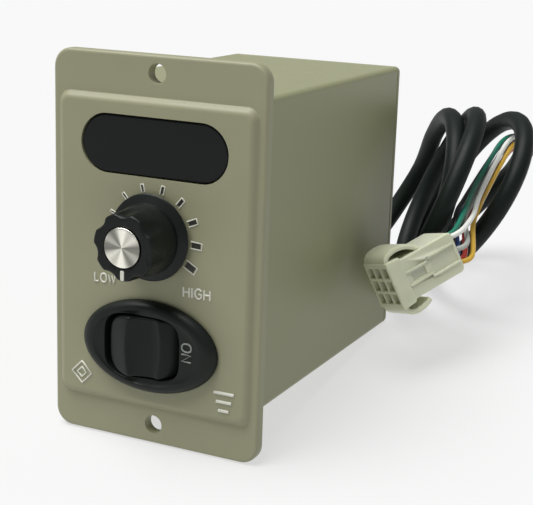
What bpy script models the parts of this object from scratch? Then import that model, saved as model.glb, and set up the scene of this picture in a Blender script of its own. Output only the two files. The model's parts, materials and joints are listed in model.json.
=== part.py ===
"""Panel-mounted speed controller for an AC gear motor, as an assembly of separate parts.

All lengths below are in millimetres and are turned into metres where an object is made.
Controller parts are drawn in the face frame: +X to the right of the panel, +Y up the panel and
+Z out of the panel towards the operator, so everything inside the case has a negative Z.
The face frame hangs on the empty rest_pose, which lays the controller down the way it stands on
a table: on the lower edge of its flange and the lower rear edge of its case.
"""
import math

import bmesh
import bpy
from mathutils import Euler, Matrix, Vector

MM = 0.001
GAP = 0.3                      # clearance between touching pieces

# Front panel
FLANGE_WIDTH, FLANGE_HEIGHT, FLANGE_THICKNESS = 62.3, 104.0, 3.2
FLANGE_CORNER = 5.0
RAISED_WIDTH, RAISED_HEIGHT, RAISED_RISE = 58.6, 83.2, 1.6
RAISED_SLOPE = 2.4
RAISED_CENTRE_Y = -0.2
MOUNT_HOLE_RADIUS = 2.5
MOUNT_HOLE_Y = (47.3, -46.6)

# Case behind the panel
CASE_WIDTH, CASE_HEIGHT = 57.8, 82.45
CASE_CENTRE_Y = 1.875
CASE_WALL, CASE_EDGE = 2.5, 1.8
CASE_REAR_DEPTH = 96.2
COVER_DEPTH, COVER_THICKNESS = 96.5, 3.0
POST_SIZE, POST_LENGTH = 8.0, 14.0
SCREW_RADIUS, SCREW_LENGTH = 1.3, 11.0
SCREW_HEAD_RADIUS, SCREW_HEAD_HEIGHT = 2.6, 1.2
SCREW_X, SCREW_Y = 23.0, 35.3

# Display window
WINDOW_WIDTH, WINDOW_HEIGHT, WINDOW_Y = 43.2, 15.6, 28.6

# Speed knob and its potentiometer
KNOB_Y = 5.65
KNOB_FRONT = 16.0
KNOB_LOBES = 7
LOBE_ANGLE = 360.0 / KNOB_LOBES
SHAFT_RADIUS = 3.0
BUSH_RADIUS = 4.7
PANEL_HOLE_RADIUS = 5.1
POT_RADIUS = 8.2
SET_SCREW_ANGLE = 193.0
SET_SCREW_HEIGHT = 10.8

# Rocker switch
SWITCH_Y = -23.9
BEZEL_HALF_WIDTH, BEZEL_HALF_HEIGHT = 20.2, 12.55
SLEEVE_HALF_WIDTH, SLEEVE_HALF_HEIGHT, SLEEVE_SQUARENESS = 12.9, 9.9, 3.5
SLEEVE_CLEARANCE = 0.4
ROCKER_X = -1.5
ROCKER_RADIUS, ROCKER_HALF_HEIGHT = 11.0, 8.2
ROCKER_SQUARENESS = 4.0        # power of the superellipse that rounds the rocker's outline
ROCKER_PIVOT_Z = -1.06
ROCKER_REST_TILT = 10.5
LEVER_PIVOT_Z = -11.3
LEVER_RATIO = -0.5
CONTACT_OFFSET = -6.0

# Cable, gland and connector
GLAND_X, GLAND_Y = 5.0, -26.0
SHEATH_RADIUS, WIRE_RADIUS = 3.1, 0.8
SHEATH_START_DEPTH, BOOT_END_DEPTH = 84.0, 124.5
COIL_START, COIL_END, COIL_POINTS_PER_TURN = 0.12, 3.05, 16
SHEATH_POINTS, CORE_POINTS = 78, 20
CONNECTOR_PLACE = (40.6, 15.5, 27.0)
CONNECTOR_TURN = (105.9, -18.5, -37.9)
CONNECTOR_LENGTH = 24.0
CAVITY_PITCH, CAVITY_SIZE = 4.1, 3.3
WIRE_END_DEPTH = 20.4
EAR_WIDTH, EAR_THICKNESS = 12.4, 1.5

# The controller leans back on its lower rear edge
REST_LEAN = 7.6
REST_CENTRE_Y = -43.9

# Colour, roughness, metallic
FINISHES = {
    "panel_plastic": ((0.27, 0.27, 0.165), 0.5, 0.0),
    "case_plastic": ((0.30, 0.30, 0.195), 0.45, 0.0),
    "black_plastic": ((0.012, 0.014, 0.013), 0.35, 0.0),
    "smoked_window": ((0.004, 0.004, 0.005), 0.08, 0.0),
    "white_paint": ((0.75, 0.76, 0.72), 0.5, 0.0),
    "cable_rubber": ((0.016, 0.021, 0.019), 0.55, 0.0),
    "natural_nylon": ((0.42, 0.44, 0.31), 0.45, 0.0),
    "steel": ((0.55, 0.56, 0.58), 0.35, 1.0),
    "brass": ((0.66, 0.50, 0.22), 0.35, 1.0),
    "circuit_board": ((0.03, 0.16, 0.06), 0.6, 0.0),
    "laminated_iron": ((0.20, 0.20, 0.21), 0.5, 1.0),
    "copper_winding": ((0.55, 0.22, 0.08), 0.4, 1.0),
    "film_yellow": ((0.62, 0.45, 0.06), 0.5, 0.0),
    "aluminium": ((0.70, 0.71, 0.72), 0.4, 1.0),
    "glass": ((0.70, 0.74, 0.74), 0.1, 0.0),
    "core_green": ((0.015, 0.20, 0.13), 0.45, 0.0),
    "core_white": ((0.78, 0.78, 0.74), 0.45, 0.0),
    "core_grey": ((0.38, 0.39, 0.37), 0.45, 0.0),
    "core_yellow": ((0.68, 0.42, 0.05), 0.45, 0.0),
    "core_red": ((0.45, 0.05, 0.03), 0.45, 0.0),
    "core_blue": ((0.03, 0.10, 0.42), 0.45, 0.0),
    "core_black": ((0.015, 0.015, 0.015), 0.45, 0.0),
}

# name, finish, place in the sheath (turn around it, or None for the middle), column and row
CORES = (
    ("wire_green", "core_green", 90.0, 0, 1),
    ("wire_white", "core_white", 30.0, 1, 1),
    ("wire_grey", "core_grey", None, 1, 0),
    ("wire_yellow", "core_yellow", -30.0, 1, -1),
    ("wire_red", "core_red", -90.0, 0, -1),
    ("wire_blue", "core_blue", -150.0, -1, -1),
    ("wire_black", "core_black", 150.0, -1, 0),
)
CORE_TWIST = 60.0              # how far the bundle turns between the connector and the sheath


# ---------------------------------------------------------------- scene and collections

def empty_scene():
    """Remove whatever the open file holds and make the two collections."""
    for obj in list(bpy.data.objects):
        bpy.data.objects.remove(obj, do_unlink=True)
    collections = []
    for name in ("speed_controller", "cutters"):
        collection = bpy.data.collections.new(name)
        bpy.context.scene.collection.children.link(collection)
        collections.append(collection)
    return collections


PARTS, CUTTERS = empty_scene()


def make_finishes():
    """One Principled material for each finish."""
    made = {}
    for name, (colour, roughness, metallic) in FINISHES.items():
        material = bpy.data.materials.new(name)
        material.use_nodes = True
        shader = material.node_tree.nodes["Principled BSDF"]
        shader.inputs["Base Color"].default_value = (*colour, 1.0)
        shader.inputs["Roughness"].default_value = roughness
        shader.inputs["Metallic"].default_value = metallic
        made[name] = material
    return made


MATERIALS = make_finishes()


def add_empty(name, place=(0.0, 0.0, 0.0), turn=(0.0, 0.0, 0.0), parent=None):
    """An empty that carries pieces; place in millimetres, turn in degrees."""
    empty = bpy.data.objects.new(name, None)
    PARTS.objects.link(empty)
    empty.parent = parent
    empty.location = Vector(place) * MM
    empty.rotation_euler = [math.radians(angle) for angle in turn]
    return empty


def face_to_world():
    """The matrix from the face frame, in millimetres, to the table, in millimetres."""
    lean = math.radians(REST_LEAN)
    rear_edge = Vector((0.0, -FLANGE_HEIGHT / 2, -FLANGE_THICKNESS))
    turn = Euler((math.radians(90.0) - lean, 0.0, 0.0)).to_matrix()
    height = -(turn @ rear_edge).z
    return Matrix.Translation((0.0, REST_CENTRE_Y, height)) @ turn.to_4x4()


FACE = face_to_world()
REST_POSE = add_empty("rest_pose", FACE.translation, (90.0 - REST_LEAN, 0.0, 0.0))
KNOB_AXIS = add_empty("knob_axis", (0.0, KNOB_Y, 0.0), parent=REST_POSE)
ROCKER_AXIS = add_empty("rocker_axis", (ROCKER_X, SWITCH_Y, ROCKER_PIVOT_Z),
                        (0.0, ROCKER_REST_TILT, 0.0), REST_POSE)
LEVER_AXIS = add_empty("lever_axis", (ROCKER_X, SWITCH_Y, LEVER_PIVOT_Z),
                       (0.0, ROCKER_REST_TILT * LEVER_RATIO, 0.0), REST_POSE)
CONNECTOR_POSE = add_empty("connector_pose", CONNECTOR_PLACE, CONNECTOR_TURN)


# ---------------------------------------------------------------- making and cutting pieces

def place(obj, name, finish, centre, turn, parent):
    """Name a new object, give it its finish or make it a cutter, and put it in its frame."""
    obj.name = name
    for collection in list(obj.users_collection):
        collection.objects.unlink(obj)
    if finish is None:
        CUTTERS.objects.link(obj)
        obj.hide_render = True
        obj.display_type = "WIRE"
    else:
        PARTS.objects.link(obj)
        obj.data.materials.append(MATERIALS[finish])
    obj.parent = parent
    obj.location = Vector(centre) * MM
    obj.rotation_euler = [math.radians(angle) for angle in turn]
    return obj


def object_from_bmesh(mesh_data, smooth_angle=None):
    """Turn a bmesh, drawn in millimetres, into a new object in metres."""
    bmesh.ops.scale(mesh_data, vec=(MM, MM, MM), verts=mesh_data.verts)
    bmesh.ops.recalc_face_normals(mesh_data, faces=mesh_data.faces)
    mesh = bpy.data.meshes.new("piece")
    mesh_data.to_mesh(mesh)
    mesh_data.free()
    if smooth_angle is not None:
        mesh.shade_smooth()
        mesh.set_sharp_from_angle(angle=math.radians(smooth_angle))
    obj = bpy.data.objects.new("piece", mesh)
    bpy.context.scene.collection.objects.link(obj)
    return obj


def add_box(name, finish, size, centre, bevel=0.0, turn=(0.0, 0.0, 0.0), parent=REST_POSE):
    """A box with its edges rounded by bevel."""
    data = bmesh.new()
    bmesh.ops.create_cube(data, size=1.0)
    bmesh.ops.scale(data, vec=size, verts=data.verts)
    obj = place(object_from_bmesh(data), name, finish, centre, turn, parent)
    if bevel > 0.0:
        modifier = obj.modifiers.new("rounded_edges", "BEVEL")
        modifier.width = bevel * MM
        modifier.segments = 2
    return obj


def add_boxes(name, boxes, parent=REST_POSE):
    """Several separate boxes, each (size, centre), in one cutter."""
    data = bmesh.new()
    for size, centre in boxes:
        new = bmesh.ops.create_cube(data, size=1.0)["verts"]
        bmesh.ops.scale(data, vec=size, verts=new)
        bmesh.ops.translate(data, vec=centre, verts=new)
    return place(object_from_bmesh(data), name, None, (0, 0, 0), (0, 0, 0), parent)


def add_cylinder(name, finish, radius, length, centre, turn=(0.0, 0.0, 0.0), sides=24,
                 parent=REST_POSE):
    """A cylinder along its own Z."""
    data = bmesh.new()
    bmesh.ops.create_cone(data, cap_ends=True, segments=sides, radius1=radius, radius2=radius,
                          depth=length)
    return place(object_from_bmesh(data, 35.0), name, finish, centre, turn, parent)


def add_turned(name, finish, profile, centre=(0.0, 0.0, 0.0), steps=24, closed=False,
               parent=REST_POSE):
    """A turned piece. The profile's (radius, height) points run down its outer side."""
    data = bmesh.new()
    points = [data.verts.new((radius * MM, 0.0, height * MM)) for radius, height in profile]
    for first, second in zip(points, points[1:]):
        data.edges.new((first, second))
    if closed:
        data.edges.new((points[-1], points[0]))
    mesh = bpy.data.meshes.new("profile")
    data.to_mesh(mesh)
    data.free()
    obj = bpy.data.objects.new("piece", mesh)
    bpy.context.scene.collection.objects.link(obj)
    place(obj, name, finish, centre, (0, 0, 0), parent)
    screw = obj.modifiers.new("turn", "SCREW")
    screw.steps = steps
    screw.render_steps = steps
    screw.use_merge_vertices = True
    screw.merge_threshold = 0.00001
    screw.use_smooth_shade = True
    return obj


def mesh_from_curve(curve_object):
    """Replace a curve object by the closed mesh that it draws."""
    bpy.context.view_layer.update()
    graph = bpy.context.evaluated_depsgraph_get()
    mesh = bpy.data.meshes.new_from_object(curve_object.evaluated_get(graph))
    mesh.name = "piece"
    data = bmesh.new()
    data.from_mesh(mesh)
    bmesh.ops.remove_doubles(data, verts=data.verts, dist=0.000001)
    bmesh.ops.recalc_face_normals(data, faces=data.faces)
    data.to_mesh(mesh)
    data.free()
    mesh.shade_smooth()
    mesh.set_sharp_from_angle(angle=math.radians(30.0))
    obj = bpy.data.objects.new("piece", mesh)
    bpy.context.scene.collection.objects.link(obj)
    bpy.data.objects.remove(curve_object, do_unlink=True)
    return obj


def new_curve(points_of_splines, closed):
    """A curve object with one POLY spline for each list of points, in millimetres."""
    curve = bpy.data.curves.new("outline", "CURVE")
    for points in points_of_splines:
        spline = curve.splines.new("POLY")
        spline.points.add(len(points) - 1)
        for target, point in zip(spline.points, points):
            target.co = (*(Vector(point).to_3d() * MM), 1.0)
        spline.use_cyclic_u = closed
    obj = bpy.data.objects.new("outline", curve)
    bpy.context.scene.collection.objects.link(obj)
    return obj


def add_plate(name, finish, outlines, thickness, centre, turn=(0.0, 0.0, 0.0),
              parent=REST_POSE):
    """A flat outline, with the holes that later outlines make in it, given a thickness."""
    obj = new_curve(outlines, closed=True)
    obj.data.dimensions = "2D"
    obj.data.fill_mode = "BOTH"
    obj.data.extrude = thickness * MM / 2
    return place(mesh_from_curve(obj), name, finish, centre, turn, parent)


def add_tube(name, finish, route, radius, resolution):
    """A round cord along a route of world points."""
    obj = new_curve([route], closed=False)
    obj.data.dimensions = "3D"
    obj.data.fill_mode = "FULL"
    obj.data.bevel_depth = radius * MM
    obj.data.bevel_resolution = resolution
    obj.data.use_fill_caps = True
    return place(mesh_from_curve(obj), name, finish, (0, 0, 0), (0, 0, 0), None)


def add_loft(name, finish, rings, centre=(0.0, 0.0, 0.0), turn=(0.0, 0.0, 0.0),
             parent=REST_POSE):
    """A closed solid through rings of equally many points, each ring (outline, height)."""
    data = bmesh.new()
    levels = [[data.verts.new((x, y, height)) for x, y in outline] for outline, height in rings]
    count = len(levels[0])
    for lower, upper in zip(levels, levels[1:]):
        for index in range(count):
            following = (index + 1) % count
            data.faces.new((lower[index], lower[following], upper[following], upper[index]))
    data.faces.new(levels[0])
    data.faces.new(levels[-1])
    return place(object_from_bmesh(data, 30.0), name, finish, centre, turn, parent)


def boolean(obj, other, operation):
    """Cut other out of obj, or join it to obj."""
    modifier = obj.modifiers.new(other.name, "BOOLEAN")
    modifier.operation = operation
    modifier.object = other


# ---------------------------------------------------------------- outlines

def rounded_rectangle(width, height, corner, centre=(0.0, 0.0), corner_points=5):
    """A rectangle whose corners are quarter circles."""
    points = []
    for quarter, (sign_x, sign_y) in enumerate(((1, 1), (-1, 1), (-1, -1), (1, -1))):
        middle_x = centre[0] + sign_x * (width / 2 - corner)
        middle_y = centre[1] + sign_y * (height / 2 - corner)
        for step in range(corner_points):
            angle = math.radians(90.0 * (quarter + step / (corner_points - 1)))
            points.append((middle_x + corner * math.cos(angle),
                           middle_y + corner * math.sin(angle)))
    return points


def circle(radius, centre=(0.0, 0.0), count=24):
    """A circle, or a regular polygon for a small count."""
    return ellipse(radius, radius, centre, count)


def ellipse(half_width, half_height, centre=(0.0, 0.0), count=40):
    """An ellipse around its centre."""
    turns = [2 * math.pi * index / count for index in range(count)]
    return [(centre[0] + half_width * math.cos(turn), centre[1] + half_height * math.sin(turn))
            for turn in turns]


def superellipse(half_width, half_height, power, centre=(0.0, 0.0), count=40):
    """An oval that turns squarer as its power rises above 2."""
    points = []
    for x, y in ellipse(1.0, 1.0, count=count):
        points.append((centre[0] + half_width * math.copysign(abs(x) ** (2 / power), x),
                       centre[1] + half_height * math.copysign(abs(y) ** (2 / power), y)))
    return points


def cross(reach, half_width):
    """A cross with four square arms."""
    quarter = [(reach, -half_width), (reach, half_width), (half_width, half_width)]
    points = []
    for turn in range(4):
        cosine, sine = round(math.cos(math.pi * turn / 2)), round(math.sin(math.pi * turn / 2))
        points += [(x * cosine - y * sine, x * sine + y * cosine) for x, y in quarter]
    return points


def strip(path, thickness):
    """The outline of a strip of even thickness along a path in a plane."""
    sides = ([], [])
    for index, point in enumerate(path):
        before = Vector(path[max(index - 1, 0)])
        after = Vector(path[min(index + 1, len(path) - 1)])
        along = (after - before).normalized()
        across = Vector((-along.y, along.x)) * thickness / 2
        sides[0].append(Vector(point) + across)
        sides[1].append(Vector(point) - across)
    return [tuple(point) for point in sides[0] + sides[1][::-1]]


def switch_sleeve(grow=0.0):
    """The outline of the sleeve behind the switch's bezel, grown all round."""
    return superellipse(SLEEVE_HALF_WIDTH + grow, SLEEVE_HALF_HEIGHT + grow, SLEEVE_SQUARENESS,
                        (ROCKER_X, SWITCH_Y))


# ---------------------------------------------------------------- front panel, case and cover

def build_front_panel():
    """The flange with its raised face, the window, shaft and switch openings and two holes."""
    panel = add_plate("front_panel", "panel_plastic",
                      [rounded_rectangle(FLANGE_WIDTH, FLANGE_HEIGHT, FLANGE_CORNER)],
                      FLANGE_THICKNESS, (0, 0, -FLANGE_THICKNESS / 2))
    half_slope = RAISED_SLOPE / 2
    raised = add_loft("raised_face", None, [
        (rounded_rectangle(RAISED_WIDTH, RAISED_HEIGHT, 2.6), -1.0),
        (rounded_rectangle(RAISED_WIDTH, RAISED_HEIGHT, 2.6), 0.25),
        (rounded_rectangle(RAISED_WIDTH - 2 * half_slope, RAISED_HEIGHT - 2 * half_slope, 2.2),
         RAISED_RISE * 0.72),
        (rounded_rectangle(RAISED_WIDTH - 2 * RAISED_SLOPE, RAISED_HEIGHT - 2 * RAISED_SLOPE,
                           1.6), RAISED_RISE),
    ], (0, RAISED_CENTRE_Y, 0))
    boolean(panel, raised, "UNION")
    openings = [
        rounded_rectangle(WINDOW_WIDTH, WINDOW_HEIGHT, WINDOW_HEIGHT / 2 - 0.01,
                          (0, WINDOW_Y), 9),
        circle(PANEL_HOLE_RADIUS, (0, KNOB_Y)),
        switch_sleeve(SLEEVE_CLEARANCE),
    ] + [circle(MOUNT_HOLE_RADIUS, (0, y)) for y in MOUNT_HOLE_Y]
    cutter = add_plate("panel_openings", None, openings, 12.0, (0, 0, 0))
    boolean(panel, cutter, "DIFFERENCE")


def screw_places():
    """The four cover screws, in the corners of the case."""
    return [(x, CASE_CENTRE_Y + y) for y in (SCREW_Y, -SCREW_Y) for x in (-SCREW_X, SCREW_X)]


def build_case():
    """The open tube of the case with four screw posts, the rear cover and its screws."""
    length = CASE_REAR_DEPTH - FLANGE_THICKNESS - GAP
    case = add_plate("case_body", "case_plastic", [
        rounded_rectangle(CASE_WIDTH, CASE_HEIGHT, CASE_EDGE, (0, CASE_CENTRE_Y)),
        rounded_rectangle(CASE_WIDTH - 2 * CASE_WALL, CASE_HEIGHT - 2 * CASE_WALL, 1.0,
                          (0, CASE_CENTRE_Y)),
    ], length, (0, 0, -CASE_REAR_DEPTH + length / 2))
    post_x = (CASE_WIDTH - POST_SIZE) / 2 - CASE_WALL + 0.5
    post_y = (CASE_HEIGHT - POST_SIZE) / 2 - CASE_WALL + 0.5
    post_z = -CASE_REAR_DEPTH + POST_LENGTH / 2
    boolean(case, add_boxes("screw_posts", [
        ((POST_SIZE, POST_SIZE, POST_LENGTH), (x, CASE_CENTRE_Y + y, post_z))
        for x in (-post_x, post_x) for y in (-post_y, post_y)
    ]), "UNION")
    hole = SCREW_RADIUS + GAP
    boolean(case, add_plate("screw_bores", None, [circle(hole, at, 14) for at in screw_places()],
                            SCREW_LENGTH + 2.0, (0, 0, -CASE_REAR_DEPTH + SCREW_LENGTH / 2)),
            "DIFFERENCE")

    rear = COVER_DEPTH + COVER_THICKNESS
    outline = rounded_rectangle(CASE_WIDTH, CASE_HEIGHT, CASE_EDGE, (0, CASE_CENTRE_Y))
    rim = rounded_rectangle(CASE_WIDTH - CASE_EDGE, CASE_HEIGHT - CASE_EDGE, CASE_EDGE / 2,
                            (0, CASE_CENTRE_Y))
    inner = rounded_rectangle(CASE_WIDTH - 2 * CASE_EDGE, CASE_HEIGHT - 2 * CASE_EDGE,
                              CASE_EDGE / 4, (0, CASE_CENTRE_Y))
    cover = add_loft("rear_cover", "case_plastic", [
        (outline, -COVER_DEPTH), (outline, -rear + CASE_EDGE),
        (rim, -rear + CASE_EDGE * 0.35), (inner, -rear)])
    seat_floor = -rear + SCREW_HEAD_HEIGHT + GAP
    bores = [circle(hole, at, 14) for at in screw_places()]
    bores.append(circle(6.8, (GLAND_X, GLAND_Y)))
    boolean(cover, add_plate("cover_holes", None, bores, 2 * COVER_THICKNESS,
                             (0, 0, -rear + COVER_THICKNESS / 2)), "DIFFERENCE")
    seats = [circle(SCREW_HEAD_RADIUS + GAP, at, 18) for at in screw_places()]
    boolean(cover, add_plate("screw_seats", None, seats, 4.0, (0, 0, seat_floor - 2.0)),
            "DIFFERENCE")
    for number, (x, y) in enumerate(screw_places(), start=1):
        under_head = seat_floor - GAP
        tip, head = under_head + SCREW_LENGTH, under_head - SCREW_HEAD_HEIGHT
        screw = add_turned(f"cover_screw_{number}", "steel", [
            (0, tip), (SCREW_RADIUS * 0.5, tip), (SCREW_RADIUS, tip - 1.0),
            (SCREW_RADIUS, under_head), (SCREW_HEAD_RADIUS, under_head),
            (SCREW_HEAD_RADIUS, head + 0.4), (SCREW_HEAD_RADIUS - 0.4, head), (0, head),
        ], (x, y, 0), steps=16)
        boolean(screw, add_plate(f"cross_slot_{number}", None, [cross(1.7, 0.35)], 1.4,
                                 (x, y, head), (0, 0, 12.0)), "DIFFERENCE")


# ---------------------------------------------------------------- display

def build_display():
    """The smoked window, the display behind it and the board that holds the display."""
    width, height = WINDOW_WIDTH - 2 * GAP, WINDOW_HEIGHT - 2 * GAP

    def stadium(inset):
        return rounded_rectangle(width - 2 * inset, height - 2 * inset,
                                 height / 2 - inset - 0.01, (0, WINDOW_Y), 9)

    lens = add_loft("window_lens", "smoked_window", [
        (stadium(0.0), -4.0), (stadium(0.0), 1.0), (stadium(0.35), 1.3)])
    ledge = add_plate("lens_ledge", None, [rounded_rectangle(47.0, 19.4, 3.0, (0, WINDOW_Y))],
                      1.2, (0, 0, -4.1))
    boolean(lens, ledge, "UNION")
    add_box("display_module", "black_plastic", (38.0, 13.0, 7.0), (0, WINDOW_Y, -8.5), 0.4)
    add_box("display_board", "circuit_board", (50.0, 24.0, 1.6), (0, WINDOW_Y, -13.2))


# ---------------------------------------------------------------- potentiometer and knob

def build_potentiometer():
    """The threaded bush through the panel, its washer and nut, the can, wafer and shaft."""
    centre = (0, KNOB_Y, 0)
    clear = BUSH_RADIUS + GAP
    add_turned("pot_washer", "steel", [(6.9, 2.4), (6.9, 1.9), (clear, 1.9), (clear, 2.4)],
               centre, closed=True)
    add_plate("pot_nut", "brass", [circle(6.9, (0, KNOB_Y), 6), circle(clear, (0, KNOB_Y))],
              2.0, (0, 0, 3.7))
    bore = SHAFT_RADIUS + GAP
    add_turned("pot_bushing", "brass", [(BUSH_RADIUS - 0.4, 7.0), (BUSH_RADIUS, 6.6),
                                        (BUSH_RADIUS, -3.5), (bore, -3.5), (bore, 7.0)],
               centre, closed=True)
    add_turned("pot_body", "steel", [(POT_RADIUS, -3.8), (POT_RADIUS, -11.5), (7.4, -11.5),
                                     (7.4, -4.8), (bore, -4.8), (bore, -3.8)],
               centre, closed=True)
    wafer = add_cylinder("pot_wafer", "circuit_board", POT_RADIUS, 1.4, (0, KNOB_Y, -12.5))
    lugs = add_boxes("pot_lugs", [((2.0, 9.0, 0.6), (x, KNOB_Y - 11.2, -12.5))
                                  for x in (-5.0, 0.0, 5.0)])
    boolean(wafer, lugs, "UNION")
    add_turned("pot_shaft", "steel", [(0, 13.2), (SHAFT_RADIUS - 0.4, 13.2),
                                      (SHAFT_RADIUS, 12.8), (SHAFT_RADIUS, -9.8), (0, -9.8)],
               parent=KNOB_AXIS)
    add_turned("pot_wiper", "brass", [(6.6, -7.8), (6.6, -8.8), (bore, -8.8), (bore, -7.8)],
               parent=KNOB_AXIS, closed=True)


def build_scoops():
    """Seven slanting cylinders that hollow the grip between its lobes."""
    radius, length, slant = 4.0, 11.5, math.radians(10.5)
    reach, middle = 12.28, KNOB_FRONT - 2.6
    data = bmesh.new()
    for number in range(KNOB_LOBES):
        angle = math.radians(270.0 + LOBE_ANGLE * (number + 0.5))
        turn = Matrix.Rotation(angle, 4, "Z") @ Matrix.Translation((reach, 0, middle))
        turn = turn @ Matrix.Rotation(-slant, 4, "Y")
        bmesh.ops.create_cone(data, cap_ends=True, segments=24, radius1=radius, radius2=radius,
                              depth=length, matrix=turn)
    return place(object_from_bmesh(data), "grip_scoops", None, (0, 0, 0), (0, 0, 0), KNOB_AXIS)


def radial_hole(name, radius, inner, outer, angle, height, finish=None):
    """A cylinder that points straight out from the knob's axis."""
    turned = math.radians(angle)
    middle = (inner + outer) / 2
    centre = (middle * math.cos(turned), middle * math.sin(turned), height)
    return add_cylinder(name, finish, radius, outer - inner, centre, (0, 90, angle), 20,
                        KNOB_AXIS)


def build_knob():
    """The scalloped knob with its skirt, brass insert, set screw, cap and pointer."""
    bell_top = KNOB_FRONT - 0.6
    knob = add_turned("knob_body", "black_plastic", [
        (0, 15.3), (5.45, 15.3), (5.45, KNOB_FRONT), (8.35, KNOB_FRONT), (8.75, bell_top),
        (8.9, 9.0), (9.4, 4.7), (9.1, 4.45), (9.6, 4.25), (11.5, 3.3), (11.5, 2.9), (7.3, 2.9),
        (7.3, 7.6), (5.3, 7.6), (5.3, 13.5), (0, 13.5)], parent=KNOB_AXIS, steps=56)
    boolean(knob, build_scoops(), "DIFFERENCE")
    groove = add_boxes("pointer_groove", [((1.7, 4.6, 2.4), (0, -8.05, 16.1))], KNOB_AXIS)
    boolean(knob, groove, "DIFFERENCE")
    insert = add_turned("knob_insert", "brass", [
        (5.0, 13.2), (5.0, 7.9), (SHAFT_RADIUS + GAP, 7.9), (SHAFT_RADIUS + GAP, 13.2)],
        parent=KNOB_AXIS, closed=True)
    hole = radial_hole("set_screw_hole", 1.8, 1.0, 11.4, SET_SCREW_ANGLE, SET_SCREW_HEIGHT)
    boolean(knob, hole, "DIFFERENCE")
    boolean(insert, hole, "DIFFERENCE")
    radial_hole("knob_set_screw", 1.5, 3.4, 7.2, SET_SCREW_ANGLE, SET_SCREW_HEIGHT, "steel")
    add_turned("knob_cap", "aluminium", [(0, 16.35), (4.9, 16.35), (5.15, 16.1),
                                             (5.15, 15.6), (0, 15.6)], parent=KNOB_AXIS)
    add_box("knob_pointer", "white_paint", (1.1, 2.4, 0.9), (0, -7.3, 15.7), parent=KNOB_AXIS)


# ---------------------------------------------------------------- rocker switch

def build_switch_housing():
    """The oval bezel with the sleeve behind it that holds the rocker and its contacts."""
    crest = 4.6
    rings = ((1.0, 1.9), (0.995, 2.4), (0.965, 3.2), (0.92, 4.0), (0.87, 4.45), (0.81, crest),
             (0.75, 4.5), (0.66, 4.2), (0.56, 4.0))
    housing = add_loft("switch_housing", "black_plastic", [
        (ellipse(BEZEL_HALF_WIDTH * share, BEZEL_HALF_HEIGHT * share, (0, SWITCH_Y)), height)
        for share, height in rings])
    sleeve = add_plate("switch_sleeve", None, [switch_sleeve()], 18.4, (0, 0, -6.8))
    boolean(housing, sleeve, "UNION")
    well = add_plate("rocker_well", None, [
        superellipse(ROCKER_RADIUS + GAP, ROCKER_HALF_HEIGHT + GAP, ROCKER_SQUARENESS,
                     (ROCKER_X, SWITCH_Y))], 30.0, (0, 0, -6.0))
    boolean(housing, well, "DIFFERENCE")
    holes = add_cylinder("trunnion_holes", None, 1.7, 20.0, (ROCKER_X, SWITCH_Y, ROCKER_PIVOT_Z),
                         (90, 0, 0), 20)
    boolean(housing, holes, "DIFFERENCE")
    base = add_plate("switch_base", "black_plastic", [switch_sleeve()], 3.0, (0, 0, -17.8))
    slots = add_boxes("terminal_slots", [((1.4, 6.9, 6.0), (x, SWITCH_Y, -17.8))
                                         for x in (ROCKER_X, ROCKER_X + CONTACT_OFFSET)])
    boolean(base, slots, "DIFFERENCE")


def rocker_outline():
    """The rocker seen from its pivot's end, with a finger ridge on each half."""
    right = [(0.0, 5.2), (2.2, 5.35), (3.8, 5.8), (4.8, 6.15), (6.0, 5.85), (8.0, 4.8),
             (12.0, 2.6), (12.0, -2.7)]
    left = [(-x, height) for x, height in right[:0:-1]]
    return right + left


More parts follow.
